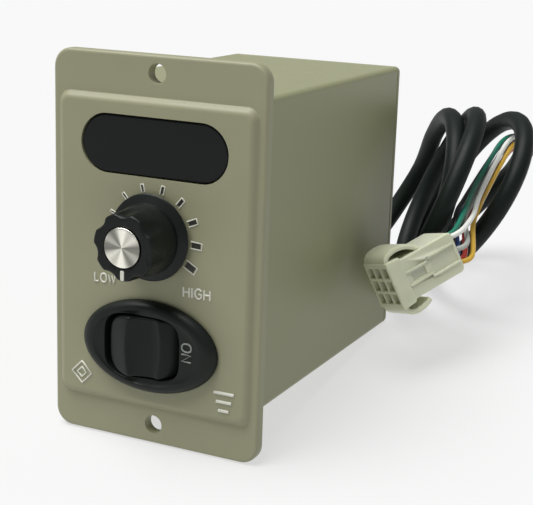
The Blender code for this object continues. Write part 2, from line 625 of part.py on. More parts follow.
def build_rocker():
    """The rocker with its trunnions and stem, its spring and plunger, and the contacts."""
    rocker = add_plate("rocker", "black_plastic", [rocker_outline()], 2 * ROCKER_HALF_HEIGHT + 1,
                       (0, 0, 0), (90, 0, 0), ROCKER_AXIS)
    envelope = [(abs(x), y) for x, y in superellipse(
        ROCKER_RADIUS, ROCKER_HALF_HEIGHT, ROCKER_SQUARENESS, count=40) if x > -0.001]
    envelope.sort(key=lambda point: -point[1])
    ends = add_turned("rocker_envelope", None, envelope, parent=ROCKER_AXIS, steps=48)
    ends.rotation_euler = (math.radians(-90.0), 0.0, 0.0)
    boolean(rocker, ends, "INTERSECT")
    stem = add_box("rocker_stem", None, (5.0, 9.0, 5.6), (0, 0, -4.4), parent=ROCKER_AXIS)
    boolean(rocker, stem, "UNION")
    pins = add_cylinder("rocker_trunnions", None, 1.4, 2 * (ROCKER_HALF_HEIGHT + 0.8), (0, 0, 0),
                        (90, 0, 0), 20, ROCKER_AXIS)
    boolean(rocker, pins, "UNION")
    bore = add_cylinder("spring_bore", None, 1.65, 8.0, (0, 0, -5.0), parent=ROCKER_AXIS,
                        sides=24)
    boolean(rocker, bore, "DIFFERENCE")
    turns, points_per_turn, top, height = 3, 8, -1.6, 2.9
    helix = []
    for index in range(turns * points_per_turn + 1):
        angle = 2 * math.pi * index / points_per_turn
        level = top - height * index / (turns * points_per_turn)
        helix.append((1.05 * math.cos(angle), 1.05 * math.sin(angle), level))
    spring = new_curve([helix], closed=False)
    spring.data.bevel_depth = 0.22 * MM
    spring.data.bevel_resolution = 1
    spring.data.use_fill_caps = True
    spring.data.dimensions = "3D"
    spring.data.fill_mode = "FULL"
    place(mesh_from_curve(spring), "rocker_spring", "steel", (0, 0, 0), (0, 0, 0), ROCKER_AXIS)
    add_turned("rocker_plunger", "natural_nylon", [
        (0, -5.1), (1.3, -5.1), (1.3, -8.5), (0.9, -9.1), (0, -9.3)], parent=ROCKER_AXIS,
        steps=20)
    add_box("contact_lever", "brass", (14.0, 5.0, 1.2), (0, 0, 0), 0.3, parent=LEVER_AXIS)
    for number, offset, top in ((1, 0.0, -12.3), (2, CONTACT_OFFSET, -13.0)):
        length = top + 27.0
        add_box(f"switch_terminal_{number}", "brass", (0.8, 6.3, length),
                (ROCKER_X + offset, SWITCH_Y, top - length / 2))


# ---------------------------------------------------------------- electronics

def build_electronics():
    """The mains board along the left wall and what stands on it."""
    board_face = -20.9
    add_box("main_board", "circuit_board", (1.6, 66.0, 64.0), (-22.0, 2.0, -49.0))

    def on_board(height, y, depth):
        return (board_face + height / 2, y, -depth)

    core_x, core_y, core_depth = -7.0, 15.0, 65.0
    window_x, window_y = 6.75, 12.0
    core = add_box("transformer_core", "laminated_iron", (27.0, 34.0, 18.0),
                   (core_x, core_y, -core_depth))
    boolean(core, add_boxes("core_windows", [
        ((6.5, 2 * window_y, 20.0), (core_x + side * window_x, core_y, -core_depth))
        for side in (-1, 1)]), "DIFFERENCE")
    coil = add_box("transformer_coil", "copper_winding", (19.4, 23.4, 30.6),
                   (core_x, core_y, -core_depth), 0.0)
    boolean(coil, add_boxes("coil_core_hole", [((7.6, 30.0, 18.6),
                                                (core_x, core_y, -core_depth))]), "DIFFERENCE")
    add_cylinder("capacitor_1", "black_plastic", 6.5, 22.0, on_board(22.0, 28.0, 28.0),
                 (0, 90, 0))
    add_cylinder("capacitor_2", "black_plastic", 5.0, 14.0, on_board(14.0, 29.0, 43.0),
                 (0, 90, 0))
    add_box("film_capacitor", "film_yellow", (10.0, 16.0, 24.0), on_board(10.0, -20.0, 40.0), 0.8)
    add_box("triac", "black_plastic", (4.4, 10.0, 16.0), on_board(4.4, -2.0, 31.0), 0.3)
    add_box("control_chip", "black_plastic", (3.4, 16.0, 6.4), on_board(3.4, -22.0, 62.0), 0.2)
    add_box("wire_header", "natural_nylon", (8.0, 10.0, 8.0), on_board(8.0, -8.5, 66.0), 0.3)
    add_cylinder("fuse", "glass", 2.5, 16.0, on_board(5.0, -23.0, 74.0), (90, 0, 0), 20)

    fins, root, tip, low, pitch, web = 4, -16.2, -5.0, -11.0, 4.8, 1.6
    comb = [(root, low)]
    for number in range(fins):
        y = low + number * pitch
        comb += [(tip, y), (tip, y + web), (root + web, y + web)]
        if number < fins - 1:
            comb.append((root + web, y + pitch))
    comb[-1] = (root, low + (fins - 1) * pitch + web)
    add_plate("heat_sink", "aluminium", [comb], 18.0, (0, 0, -31.0))


# ---------------------------------------------------------------- cable, gland and connector

def build_gland():
    """The strain relief with its tapered boot, and the tie that holds the cable inside."""
    bore = SHEATH_RADIUS + 0.35
    centre = (GLAND_X, GLAND_Y, 0)
    add_turned("cable_gland", "black_plastic", [
        (6.5, -95.6), (6.5, -99.8), (8.4, -99.8), (8.4, -102.0), (6.2, -102.5),
        (4.3, -BOOT_END_DEPTH), (bore, -BOOT_END_DEPTH), (bore, -95.6)],
        centre, closed=True)
    add_turned("cable_tie", "natural_nylon", [
        (4.8, -90.2), (4.8, -93.4), (bore, -93.4), (bore, -90.2)], centre, closed=True)


def polynomial(stations, values, at):
    """The value at one place of the curve that passes through every station (Lagrange)."""
    total = 0.0
    for index, value in enumerate(values):
        weight = 1.0
        for other, station in enumerate(stations):
            if other != index:
                weight *= (at - station) / (stations[index] - station)
        total += value * weight
    return total


def coil_point(turn):
    """A point of the coiled cable, counted in turns; its loops lean and drift as they go."""
    stations = (-0.1, 0.8, 1.6, 2.4, 3.2)
    middle = Vector((polynomial(stations, (23.0, 31.5, 41.5, 38.0, 43.5), turn),
                     polynomial(stations, (79.5, 74.5, 73.5, 90.0, 80.5), turn),
                     polynomial(stations, (-18.5, 41.0, 29.0, 33.5, 26.0), turn)))
    radius = polynomial(stations, (29.7, 30.8, 29.5, 32.8, 27.8), turn)
    yaw = math.radians(polynomial(stations, (14.0, 23.0, 6.5, 39.5, -92.0), turn))
    lean = math.radians(polynomial(stations, (64.5, 10.5, 32.5, 34.0, -31.0), turn))
    stretch = polynomial(stations, (1.24, 1.02, 1.02, 1.0, 1.04), turn)
    angle = math.pi - 2 * math.pi * turn
    near = Vector((math.sin(yaw), -math.cos(yaw), 0.0))
    side = Vector((math.cos(yaw), math.sin(yaw), 0.0))
    upward = side * math.sin(lean) + Vector((0.0, 0.0, math.cos(lean)))
    return middle + radius * (near * math.cos(angle) + upward * stretch * math.sin(angle))


def smooth_route(points, count):
    """Evenly spaced points on a smooth curve through the given ones (Catmull-Rom)."""
    given = [Vector(point) for point in points]
    given = [2 * given[0] - given[1]] + given + [2 * given[-1] - given[-2]]
    fine = []
    steps = 16
    for a, b, c, d in zip(given, given[1:], given[2:], given[3:]):
        for step in range(steps):
            t = step / steps
            fine.append(0.5 * (2 * b + (c - a) * t + (2 * a - 5 * b + 4 * c - d) * t ** 2
                               + (3 * b - a - 3 * c + d) * t ** 3))
    fine.append(given[-2])
    lengths = [0.0]
    for first, second in zip(fine, fine[1:]):
        lengths.append(lengths[-1] + (second - first).length)
    route = []
    position = 0
    for index in range(count):
        wanted = lengths[-1] * index / (count - 1)
        while position < len(fine) - 2 and lengths[position + 1] < wanted:
            position += 1
        span = lengths[position + 1] - lengths[position]
        share = min(max((wanted - lengths[position]) / span, 0.0), 1.0)
        route.append(fine[position].lerp(fine[position + 1], share))
    return route


def sheath_route():
    """Straight out through the gland, down to the table and into three standing turns."""
    inside = [FACE @ Vector((GLAND_X, GLAND_Y, -depth))
              for depth in (SHEATH_START_DEPTH, 99.5, 112.0, BOOT_END_DEPTH)]
    lead = [(5.6, 87.0, 9.3), (7.6, 97.0, 12.0), (11.2, 104.8, 19.0)]
    steps = round((COIL_END - COIL_START) * COIL_POINTS_PER_TURN)
    coil = [coil_point(COIL_START + (COIL_END - COIL_START) * step / steps)
            for step in range(steps + 1)]
    return inside + lead + coil


# The seven cores leave the sheath, arch over inside the last turn and run to the connector
BUNDLE = ((54.6, 104.5, 48.3), (53.0, 95.5, 48.6), (51.8, 86.5, 45.0), (51.3, 75.0, 41.2),
          (52.2, 62.0, 39.4), (53.6, 50.5, 38.0))
BUNDLE_SPREAD = (2.0, 2.1, 2.2, 2.4, 2.6, 3.0)


def core_route(angle, column, row, connector):
    """One core, from its place in the sheath through the bundle to its cavity."""
    end = coil_point(COIL_END)
    along = (end - coil_point(COIL_END - 0.04)).normalized()
    stations = [(end + along * 0.7, 1.95), (end + along * 3.2, 1.95)]
    stations += [(Vector(point), spread) for point, spread in zip(BUNDLE, BUNDLE_SPREAD)]
    route = []
    for index, (point, spread) in enumerate(stations):
        twist = CORE_TWIST * (1.0 - index / (len(stations) - 1))
        turned = math.radians((angle or 0.0) + twist)
        before = stations[max(index - 1, 0)][0]
        after = stations[min(index + 1, len(stations) - 1)][0]
        ahead = (after - before).normalized()
        right = Vector((0.0, 0.0, 1.0)).cross(ahead).normalized() * -1.0
        right = -right if right.x < 0 else right
        upward = right.cross(ahead)
        upward = -upward if upward.z < 0 else upward
        reach = 0.0 if angle is None else spread
        route.append(point + reach * (right * math.cos(turned) + upward * math.sin(turned)))
    x, y = column * CAVITY_PITCH, row * CAVITY_PITCH
    for depth in (CONNECTOR_LENGTH + 5.0, CONNECTOR_LENGTH, WIRE_END_DEPTH):
        route.append(connector @ Vector((x, y, -depth)))
    return route


def build_connector():
    """The nylon housing with nine cavities and two sprung ears, and a contact in seven."""
    length = CONNECTOR_LENGTH
    housing = add_box("connector_housing", "natural_nylon", (13.2, 12.6, length),
                      (0, 0, -length / 2), 0.5, parent=CONNECTOR_POSE)
    hood = add_box("connector_hood", None, (13.9, 14.8, 5.0), (0, 0, -2.5), 0.6,
                   parent=CONNECTOR_POSE)
    boolean(housing, hood, "UNION")
    upper = [(-1.0, 6.2), (-1.1, 7.8), (-2.2, 8.9), (-4.8, 9.4), (-7.8, 9.0), (-10.4, 7.8),
             (-12.6, 5.8)]
    lower = [(-1.0, -6.2), (-1.3, -8.2), (-2.7, -9.4), (-5.0, -9.8), (-7.6, -9.4),
             (-9.6, -8.6)]
    for name, path in (("upper_ear", upper), ("lower_ear", lower)):
        ear = add_plate(name, None, [strip(path, EAR_THICKNESS)], EAR_WIDTH, (0, 0, 0), (90, 0, 90),
                        CONNECTOR_POSE)
        ear.data.transform(Matrix(((0, 1, 0, 0), (1, 0, 0, 0), (0, 0, -1, 0), (0, 0, 0, 1))))
        boolean(housing, ear, "UNION")
    grooves = add_boxes("face_grooves", [
        ((1.4, 0.9, length), (side * 6.6, y, -length / 2 - 5.2))
        for side in (-1, 1) for y in (-2.1, 2.1)], CONNECTOR_POSE)
    boolean(housing, grooves, "DIFFERENCE")
    cavities = add_boxes("cavities", [
        ((CAVITY_SIZE, CAVITY_SIZE, length + 4.0),
         (column * CAVITY_PITCH, row * CAVITY_PITCH, -length / 2))
        for column in (-1, 0, 1) for row in (-1, 0, 1)], CONNECTOR_POSE)
    boolean(housing, cavities, "DIFFERENCE")
    front, back = -3.0, -WIRE_END_DEPTH + GAP
    for number, (_, _, _, column, row) in enumerate(CORES, start=1):
        add_box(f"contact_{number}", "brass",
                (CAVITY_SIZE - 2 * GAP, CAVITY_SIZE - 2 * GAP, front - back),
                (column * CAVITY_PITCH, row * CAVITY_PITCH, (front + back) / 2),
                parent=CONNECTOR_POSE)


def build_cable():
    """The coiled sheath and its seven cores."""
    add_tube("cable_sheath", "cable_rubber", smooth_route(sheath_route(), SHEATH_POINTS),
             SHEATH_RADIUS, 2)
    turn = Euler([math.radians(angle) for angle in CONNECTOR_TURN]).to_matrix().to_4x4()
    connector = Matrix.Translation(CONNECTOR_PLACE) @ turn
    for name, finish, angle, column, row in CORES:
        route = smooth_route(core_route(angle, column, row, connector), CORE_POINTS)
        add_tube(name, finish, route, WIRE_RADIUS, 2)


build_front_panel()
build_case()
build_display()
build_potentiometer()
build_knob()
build_switch_housing()
build_rocker()
build_electronics()
build_gland()
build_connector()
build_cable()
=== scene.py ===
"""The finished look of a panel-mounted motor speed controller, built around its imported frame.

Controller pieces are drawn in millimetres in the face frame: +X to the right of the panel, +Y up
the panel and +Z out of it towards the operator. The cable is drawn in millimetres on the table.
"""

import json
import logging
import math
from dataclasses import dataclass
from enum import Enum
from functools import cache

import bmesh
import bpy
from mathutils import Euler, Matrix, Vector


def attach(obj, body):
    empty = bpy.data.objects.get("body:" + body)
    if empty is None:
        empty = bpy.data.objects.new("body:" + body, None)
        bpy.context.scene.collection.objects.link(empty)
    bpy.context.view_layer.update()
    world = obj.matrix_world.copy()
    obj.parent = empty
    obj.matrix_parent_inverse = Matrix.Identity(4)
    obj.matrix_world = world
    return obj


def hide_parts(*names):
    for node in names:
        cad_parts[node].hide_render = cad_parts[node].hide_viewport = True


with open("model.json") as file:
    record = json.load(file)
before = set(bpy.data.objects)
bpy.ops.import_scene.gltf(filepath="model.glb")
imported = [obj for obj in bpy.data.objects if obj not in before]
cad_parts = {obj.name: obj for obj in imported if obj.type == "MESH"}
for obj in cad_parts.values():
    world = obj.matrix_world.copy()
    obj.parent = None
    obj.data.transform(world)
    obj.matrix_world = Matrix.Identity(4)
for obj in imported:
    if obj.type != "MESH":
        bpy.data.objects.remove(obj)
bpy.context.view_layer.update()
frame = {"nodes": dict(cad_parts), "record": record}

LOG = logging.getLogger("speed_controller")
MM = 0.001
KNOB_Y = 5.65
GLAND = (5.0, -26.0)
SHARP_EDGE = math.radians(38.0)
# A Wave texture repeats each time that its scaled coordinates move on by this much
WAVE_LENGTH = 0.314

Point = tuple[float, float]
Outline = list[Point]
Colour = tuple[float, float, float]
Ring = list[bmesh.types.BMVert]


class Body(Enum):
    """The parts of the controller that move on their own."""

    CASE = "case"
    KNOB = "knob"
    ROCKER = "rocker"


# ---------------------------------------------------------------- shader maths

class Signal:
    """A socket that carries a number through a node tree, and works with Python's operators."""

    def __init__(self, graph: "NodeGraph", socket: bpy.types.NodeSocket) -> None:
        """Wrap one output socket.

        Args:
            graph: The node graph that the socket belongs to.
            socket: The output socket.
        """
        self.graph = graph
        self.socket = socket

    def _math(self, operation: str, first: "Signal | float", second: "Signal | float") -> "Signal":
        """Add one Math node.

        Args:
            operation: The node's operation.
            first: Its first operand.
            second: Its second operand.

        Returns:
            The node's result.
        """
        return self.graph.node("ShaderNodeMath", {"operation": operation},
                               {0: first, 1: second})

    def __add__(self, other: "Signal | float") -> "Signal":
        """Return self + other."""
        return self._math("ADD", self, other)

    def __radd__(self, other: float) -> "Signal":
        """Return other + self."""
        return self._math("ADD", other, self)

    def __sub__(self, other: "Signal | float") -> "Signal":
        """Return self - other."""
        return self._math("SUBTRACT", self, other)

    def __rsub__(self, other: float) -> "Signal":
        """Return other - self."""
        return self._math("SUBTRACT", other, self)

    def __mul__(self, other: "Signal | float") -> "Signal":
        """Return self * other."""
        return self._math("MULTIPLY", self, other)

    def __rmul__(self, other: float) -> "Signal":
        """Return other * self."""
        return self._math("MULTIPLY", other, self)

    def __gt__(self, other: "Signal | float") -> "Signal":
        """Return 1 where self is more than other, and 0 elsewhere."""
        return self._math("GREATER_THAN", self, other)


class NodeGraph:
    """The node tree of one material."""

    def __init__(self, material: bpy.types.Material) -> None:
        """Take over a new material's tree.

        Args:
            material: The material, with its nodes switched on.
        """
        self.tree = material.node_tree
        self.shader = self.tree.nodes["Principled BSDF"]

    def feed(self, node: bpy.types.Node, values: dict) -> None:
        """Set or link sockets.

        Args:
            node: The node that takes the values.
            values: A number, colour or signal for each socket, by the socket's name or place.
        """
        for key, value in values.items():
            socket = node.inputs[key]
            if isinstance(value, Signal):
                self.tree.links.new(value.socket, socket)
            elif isinstance(value, tuple) and len(value) == 3 and socket.type == "RGBA":
                socket.default_value = (*value, 1.0)
            else:
                socket.default_value = value

    def node(self, kind: str, settings: dict | None = None, values: dict | None = None,
             output: int | str = 0) -> Signal:
        """Add any node.

        Args:
            kind: The node's type.
            settings: Its settings by name.
            values: What its sockets are set to or linked from.
            output: The name or place of the output that is wanted.

        Returns:
            That output.
        """
        node = self.tree.nodes.new(kind)
        for name, setting in (settings or {}).items():
            setattr(node, name, setting)
        self.feed(node, values or {})
        return Signal(self, node.outputs[output])

    def place(self) -> Signal:
        """Return the point on the piece, in metres."""
        return self.node("ShaderNodeTexCoord", output="Object")

    def noise(self, size: float, detail: float = 2.0, stretch: Colour | None = None) -> Signal:
        """Add smooth noise.

        Args:
            size: The width of its features, in millimetres.
            detail: How many finer layers it has.
            stretch: How much finer it is along each axis.

        Returns:
            Numbers around a half.
        """
        place = self.place()
        if stretch is not None:
            place = self.node("ShaderNodeVectorMath", {"operation": "MULTIPLY"},
                              {0: place, 1: stretch})
        return self.node("ShaderNodeTexNoise", values={
            "Vector": place, "Scale": 1.0 / (size * MM), "Detail": detail})

    def blend(self, share: Signal, first: Colour, second: Colour) -> Signal:
        """Mix two colours.

        Args:
            share: How much of the second one there is.
            first: The colour at 0.
            second: The colour at 1.

        Returns:
            The mixed colour.
        """
        return self.node("ShaderNodeMix", {"data_type": "RGBA"},
                         {0: share, 6: first, 7: second}, output=2)

    def bump(self, height: Signal, depth: float) -> Signal:
        """Turn a height into a normal.

        Args:
            height: The height, from 0 to 1.
            depth: How much 1 stands for, in millimetres.

        Returns:
            The normal.
        """
        return self.node("ShaderNodeBump", values={"Distance": depth * MM, "Height": height})


def shaded(colour: Colour, factor: float) -> Colour:
    """Return a colour made lighter or darker by a factor."""
    return tuple(min(channel * factor, 1.0) for channel in colour)


# ---------------------------------------------------------------- finishes

@dataclass(frozen=True)
class Finish:
    """What every finish has: a name, the record's slot, a colour and how it shines."""

    name: str
    slot: str
    colour: Colour
    roughness: float = 0.5

    def dress(self, graph: NodeGraph) -> None:
        """Fill in the material's nodes.

        Args:
            graph: The material's node graph.
        """
        raise NotImplementedError


@cache
def material_of(finish: Finish) -> bpy.types.Material:
    """Make a finish's material the first time that it is asked for.

    Args:
        finish: The finish.

    Returns:
        Its material.
    """
    material = bpy.data.materials.new(finish.name)
    material.use_nodes = True
    finish.dress(NodeGraph(material))
    return material


@dataclass(frozen=True)
class MouldedPlastic(Finish):
    """Opaque moulded plastic with a fine grain and a faint unevenness from the mould."""

    mottle: float = 0.05
    grain_size: float = 0.5
    grain_depth: float = 0.012
    specular: float = 0.5

    def dress(self, graph: NodeGraph) -> None:
        """Fill in the material's nodes.

        Args:
            graph: The material's node graph.
        """
        cloud = graph.noise(11.0, 3.0)
        speck = graph.noise(self.grain_size * 1.7, 2.0)
        tint = cloud * 0.75 + speck * 0.25
        grain = graph.noise(self.grain_size, 3.0)
        graph.feed(graph.shader, {
            "Base Color": graph.blend(tint, shaded(self.colour, 1.0 - self.mottle),
                                      shaded(self.colour, 1.0 + self.mottle)),
            "Roughness": self.roughness + (cloud - 0.5) * 0.10 + (speck - 0.5) * 0.10,
            "Normal": graph.bump(grain, self.grain_depth),
            "Specular IOR Level": self.specular,
        })


@dataclass(frozen=True)
class SmokedWindow(Finish):
    """Polished dark acrylic with a trace of wiping marks."""

    def dress(self, graph: NodeGraph) -> None:
        """Fill in the material's nodes.

        Args:
            graph: The material's node graph.
        """
        wipe = graph.noise(7.0, 4.0, (1.0, 1.0, 3.0))
        graph.feed(graph.shader, {
            "Base Color": graph.blend(wipe, shaded(self.colour, 0.7), shaded(self.colour, 1.4)),
            "Roughness": self.roughness + wipe * 0.08,
            "Normal": graph.bump(graph.noise(14.0, 1.0), 0.02),
            "Specular IOR Level": 0.18,
        })


@dataclass(frozen=True)
class SpunAluminium(Finish):
    """A disc with fine rings left by its turning tool, with bright and dark wedges of painted
    highlight and painted shade laid into its colour by the angle round its axis.
    """

    ring_pitch: float = 0.28
    # How dark the painted shade between the painted highlight wedges is
    painted_shade_factor: float = 0.22

    def dress(self, graph: NodeGraph) -> None:
        """Fill in the material's nodes.

        Args:
            graph: The material's node graph.
        """
        rings = graph.node("ShaderNodeTexWave",
                           {"wave_type": "RINGS", "rings_direction": "Z"},
                           {"Vector": graph.place(),
                            "Scale": WAVE_LENGTH / (self.ring_pitch * MM),
                            "Distortion": 0.6, "Detail": 2.0})
        # Painted highlight: bright and dark wedges, set by the angle round the axis, stand in for
        # the light's reflections on spun metal and are painted into the base colour
        across, up = (graph.node("ShaderNodeSeparateXYZ", values={0: graph.place()}, output=axis)
                      for axis in "XY")
        angle = graph.node("ShaderNodeMath", {"operation": "ARCTAN2"}, {0: up, 1: across})
        broad_painted_highlight = graph.node("ShaderNodeMath", {"operation": "COSINE"}, {0: 2.0 * angle - 2.55})
        narrow_painted_highlight = graph.node("ShaderNodeMath", {"operation": "COSINE"}, {0: 6.0 * angle - 3.3})
        painted_highlight_wedges = graph.node("ShaderNodeClamp",
                            values={0: 0.5 + broad_painted_highlight * 0.42 + narrow_painted_highlight * 0.34})
        graph.feed(graph.shader, {
            "Base Color": graph.blend(painted_highlight_wedges * 0.92 + rings * 0.08,
                                      shaded(self.colour, self.painted_shade_factor), self.colour),
            "Metallic": 1.0,
            "Roughness": self.roughness + rings * 0.06 - painted_highlight_wedges * 0.04,
            "Normal": graph.bump(rings, 0.002),
            "Anisotropic": 0.93,
        })


@dataclass(frozen=True)
class CableJacket(Finish):
    """A soft black jacket with a matt skin, rubbed shinier here and there."""

    def dress(self, graph: NodeGraph) -> None:
        """Fill in the material's nodes.

        Args:
            graph: The material's node graph.
        """
        rub = graph.noise(16.0, 4.0)
        dust = graph.noise(1.1, 3.0)
        graph.feed(graph.shader, {
            "Base Color": graph.blend(rub * 0.6 + dust * 0.4, shaded(self.colour, 0.75),
                                      shaded(self.colour, 1.35)),
            "Roughness": self.roughness - (rub - 0.5) * 0.25 + (dust - 0.5) * 0.1,
            "Normal": graph.bump(graph.noise(0.7, 3.0) + graph.noise(5.0, 1.0) * 1.5, 0.03),
            "Specular IOR Level": 0.16,
        })


@dataclass(frozen=True)
class NaturalNylon(Finish):
    """Uncoloured nylon: pale, waxy and slightly translucent."""

    def dress(self, graph: NodeGraph) -> None:
        """Fill in the material's nodes.

        Args:
            graph: The material's node graph.
        """
        cloud = graph.noise(5.0, 2.0)
        graph.feed(graph.shader, {
            "Base Color": graph.blend(cloud, shaded(self.colour, 0.94),
                                      shaded(self.colour, 1.05)),
            "Roughness": self.roughness + (cloud - 0.5) * 0.15,
            "Normal": graph.bump(graph.noise(0.5, 3.0) + cloud, 0.012),
            "Subsurface Weight": 0.5,
            "Subsurface Radius": (1.0, 0.95, 0.7),
            "Subsurface Scale": 0.0022,
        })


@dataclass(frozen=True)
class PlainMetal(Finish):
    """Plated or drawn metal with fine streaks and a little tarnish."""

    streaks: Colour = (1.0, 1.0, 6.0)

    def dress(self, graph: NodeGraph) -> None:
        """Fill in the material's nodes.

        Args:
            graph: The material's node graph.
        """
        streak = graph.noise(0.9, 3.0, self.streaks)
        tarnish = graph.noise(6.0, 3.0)
        graph.feed(graph.shader, {
            "Base Color": graph.blend(tarnish, shaded(self.colour, 0.85),
                                      shaded(self.colour, 1.1)),
            "Metallic": 1.0,
            "Roughness": self.roughness + (streak - 0.5) * 0.2 + (tarnish - 0.5) * 0.15,
            "Normal": graph.bump(streak, 0.004),
        })


@dataclass(frozen=True)
class Layered(Finish):
    """Fine even layers, as in stacked laminations or the turns of a winding."""

    pitch: float = 0.5
    direction: str = "Y"

    def dress(self, graph: NodeGraph) -> None:
        """Fill in the material's nodes.

        Args:
            graph: The material's node graph.
        """
        layers = graph.node("ShaderNodeTexWave",
                            {"wave_type": "BANDS", "bands_direction": self.direction},
                            {"Vector": graph.place(), "Scale": WAVE_LENGTH / (self.pitch * MM),
                             "Distortion": 0.4})
        graph.feed(graph.shader, {
            "Base Color": graph.blend(layers, shaded(self.colour, 0.45),
                                      shaded(self.colour, 1.2)),
            "Metallic": 1.0,
            "Roughness": self.roughness + (graph.noise(3.0) - 0.5) * 0.2,
            "Normal": graph.bump(layers, 0.05),
        })


@dataclass(frozen=True)
class CircuitBoard(Finish):
    """Green solder mask over copper tracks."""

    track_pitch: float = 2.2
    gap_reach: float = 0.42

    def dress(self, graph: NodeGraph) -> None:
        """Fill in the material's nodes.

        Args:
            graph: The material's node graph.
        """
        cells = graph.node("ShaderNodeTexVoronoi",
                           {"distance": "CHEBYCHEV", "feature": "F1"},
                           {"Vector": graph.place(), "Scale": 1.0 / (self.track_pitch * MM)})
        tracks = cells > self.gap_reach
        graph.feed(graph.shader, {
            "Base Color": graph.blend(tracks, shaded(self.colour, 1.5), self.colour),
            "Roughness": self.roughness - tracks * 0.12,
            "Normal": graph.bump(1.0 - tracks, 0.03),
            "Coat Weight": 0.3,
        })


@dataclass(frozen=True)
class ClearGlass(Finish):
    """A thin glass tube with faint drawing lines."""

    def dress(self, graph: NodeGraph) -> None:
        """Fill in the material's nodes.

        Args:
            graph: The material's node graph.
        """
        lines = graph.noise(1.5, 2.0, (4.0, 4.0, 1.0))
        graph.feed(graph.shader, {
            "Base Color": graph.blend(lines, shaded(self.colour, 0.9), self.colour),
            "Roughness": self.roughness + lines * 0.05,
            "Transmission Weight": 0.8,
        })


PANEL = MouldedPlastic("panel_plastic_finish", "panel_plastic", (0.27, 0.268, 0.168), 0.5)
CASE = MouldedPlastic("case_plastic_finish", "case_plastic", (0.252, 0.257, 0.146), 0.4,
                      grain_size=0.9, grain_depth=0.006, specular=0.28)
BLACK = MouldedPlastic("black_plastic_finish", "black_plastic", (0.007, 0.009, 0.008), 0.36,
                       mottle=0.15, grain_size=0.35, grain_depth=0.006, specular=0.2)
SATIN_BLACK = MouldedPlastic("switch_plastic_finish", "black_plastic", (0.009, 0.012, 0.010),
                             0.40, mottle=0.12, grain_size=0.4, grain_depth=0.008,
                             specular=0.2)
# Painted shade: a near-black plate laid inside the raised tick frames, where their shade falls
SHADOW = MouldedPlastic("tick_painted_shade", "black_plastic", (0.02, 0.02, 0.015), 0.6)
PRINT = MouldedPlastic("light_print", "white_paint", (0.62, 0.62, 0.54), 0.45, mottle=0.08,
                       grain_size=0.3)
SWITCH_PRINT = MouldedPlastic("switch_print", "white_paint", (0.26, 0.28, 0.26), 0.5,
                              mottle=0.1, grain_size=0.3)
FILM = MouldedPlastic("capacitor_film", "film_yellow", (0.62, 0.45, 0.06), 0.4)
WINDOW = SmokedWindow("smoked_window_finish", "smoked_window", (0.004, 0.005, 0.005), 0.06)
ALUMINIUM = SpunAluminium("spun_aluminium", "aluminium", (1.0, 0.98, 0.87), 0.30)
SINK = PlainMetal("extruded_aluminium", "aluminium", (0.72, 0.73, 0.74), 0.4)
STEEL = PlainMetal("plated_steel", "steel", (0.58, 0.59, 0.60), 0.3)
BRASS = PlainMetal("plain_brass", "brass", (0.66, 0.50, 0.22), 0.32)
JACKET = CableJacket("cable_jacket", "cable_rubber", (0.006, 0.0095, 0.008), 0.5)
NYLON = NaturalNylon("natural_nylon_finish", "natural_nylon", (0.60, 0.62, 0.46), 0.42)
BOARD = CircuitBoard("solder_mask", "circuit_board", (0.03, 0.16, 0.06), 0.5)
LAMINATIONS = Layered("iron_laminations", "laminated_iron", (0.20, 0.20, 0.21), 0.45)
WINDING = Layered("copper_winding_finish", "copper_winding", (0.55, 0.22, 0.08), 0.35,
                  pitch=0.35, direction="Z")
GLASS = ClearGlass("fuse_glass", "glass", (0.75, 0.80, 0.80), 0.04)


def insulation(shade: str, colour: Colour) -> MouldedPlastic:
    """Return the glossy finish of one wire's insulation.

    Args:
        shade: The colour's name.
        colour: The colour.

    Returns:
        The finish.
    """
    return MouldedPlastic(f"insulation_{shade}", f"core_{shade}", colour, 0.36, mottle=0.08,
                          grain_size=0.3, grain_depth=0.01)


# ---------------------------------------------------------------- outlines

def oval(half_width: float, half_height: float, centre: Point = (0.0, 0.0), power: float = 2.0,
         count: int = 96) -> Outline:
    """Draw an ellipse, or a superellipse that turns squarer as its power rises.

    Args:
        half_width: Half of its width.
        half_height: Half of its height.
        centre: Its centre.
        power: 2 for an ellipse.
        count: How many points it has.

    Returns:
        Its points, from +X on, counterclockwise.
    """
    points = []
    for step in range(count):
        x, y = math.cos(math.tau * step / count), math.sin(math.tau * step / count)
        points.append((centre[0] + half_width * math.copysign(abs(x) ** (2 / power), x),
                       centre[1] + half_height * math.copysign(abs(y) ** (2 / power), y)))
    return points


def circle(radius: float, centre: Point = (0.0, 0.0), count: int = 48) -> Outline:
    """Return a circle's points."""
    return oval(radius, radius, centre, count=count)


def rounded_rectangle(width: float, height: float, corner: float, centre: Point = (0.0, 0.0),
                      corner_points: int = 9) -> Outline:
    """Draw a rectangle whose corners are quarter circles.

    Args:
        width: Its width.
        height: Its height.
        corner: Its corners' radius.
        centre: Its centre.
        corner_points: How many points a corner has.

    Returns:
        Its points, counterclockwise.
    """
    points = []
    for quarter, (sign_x, sign_y) in enumerate(((1, 1), (-1, 1), (-1, -1), (1, -1))):
        middle_x = centre[0] + sign_x * (width / 2 - corner)
        middle_y = centre[1] + sign_y * (height / 2 - corner)
        for step in range(corner_points):
            angle = math.radians(90.0 * (quarter + step / (corner_points - 1)))
            points.append((middle_x + corner * math.cos(angle),
                           middle_y + corner * math.sin(angle)))
    return points


def stadium(width: float, height: float, centre_y: float) -> Outline:
    """Return a rectangle whose ends are half circles."""
    return rounded_rectangle(width, height, height / 2 - 0.01, (0, centre_y), 25)


def blended(first: Outline, second: Outline, share: float) -> Outline:
    """Return the outline that lies between two others of equally many points."""
    return [(a[0] + (b[0] - a[0]) * share, a[1] + (b[1] - a[1]) * share)
            for a, b in zip(first, second)]


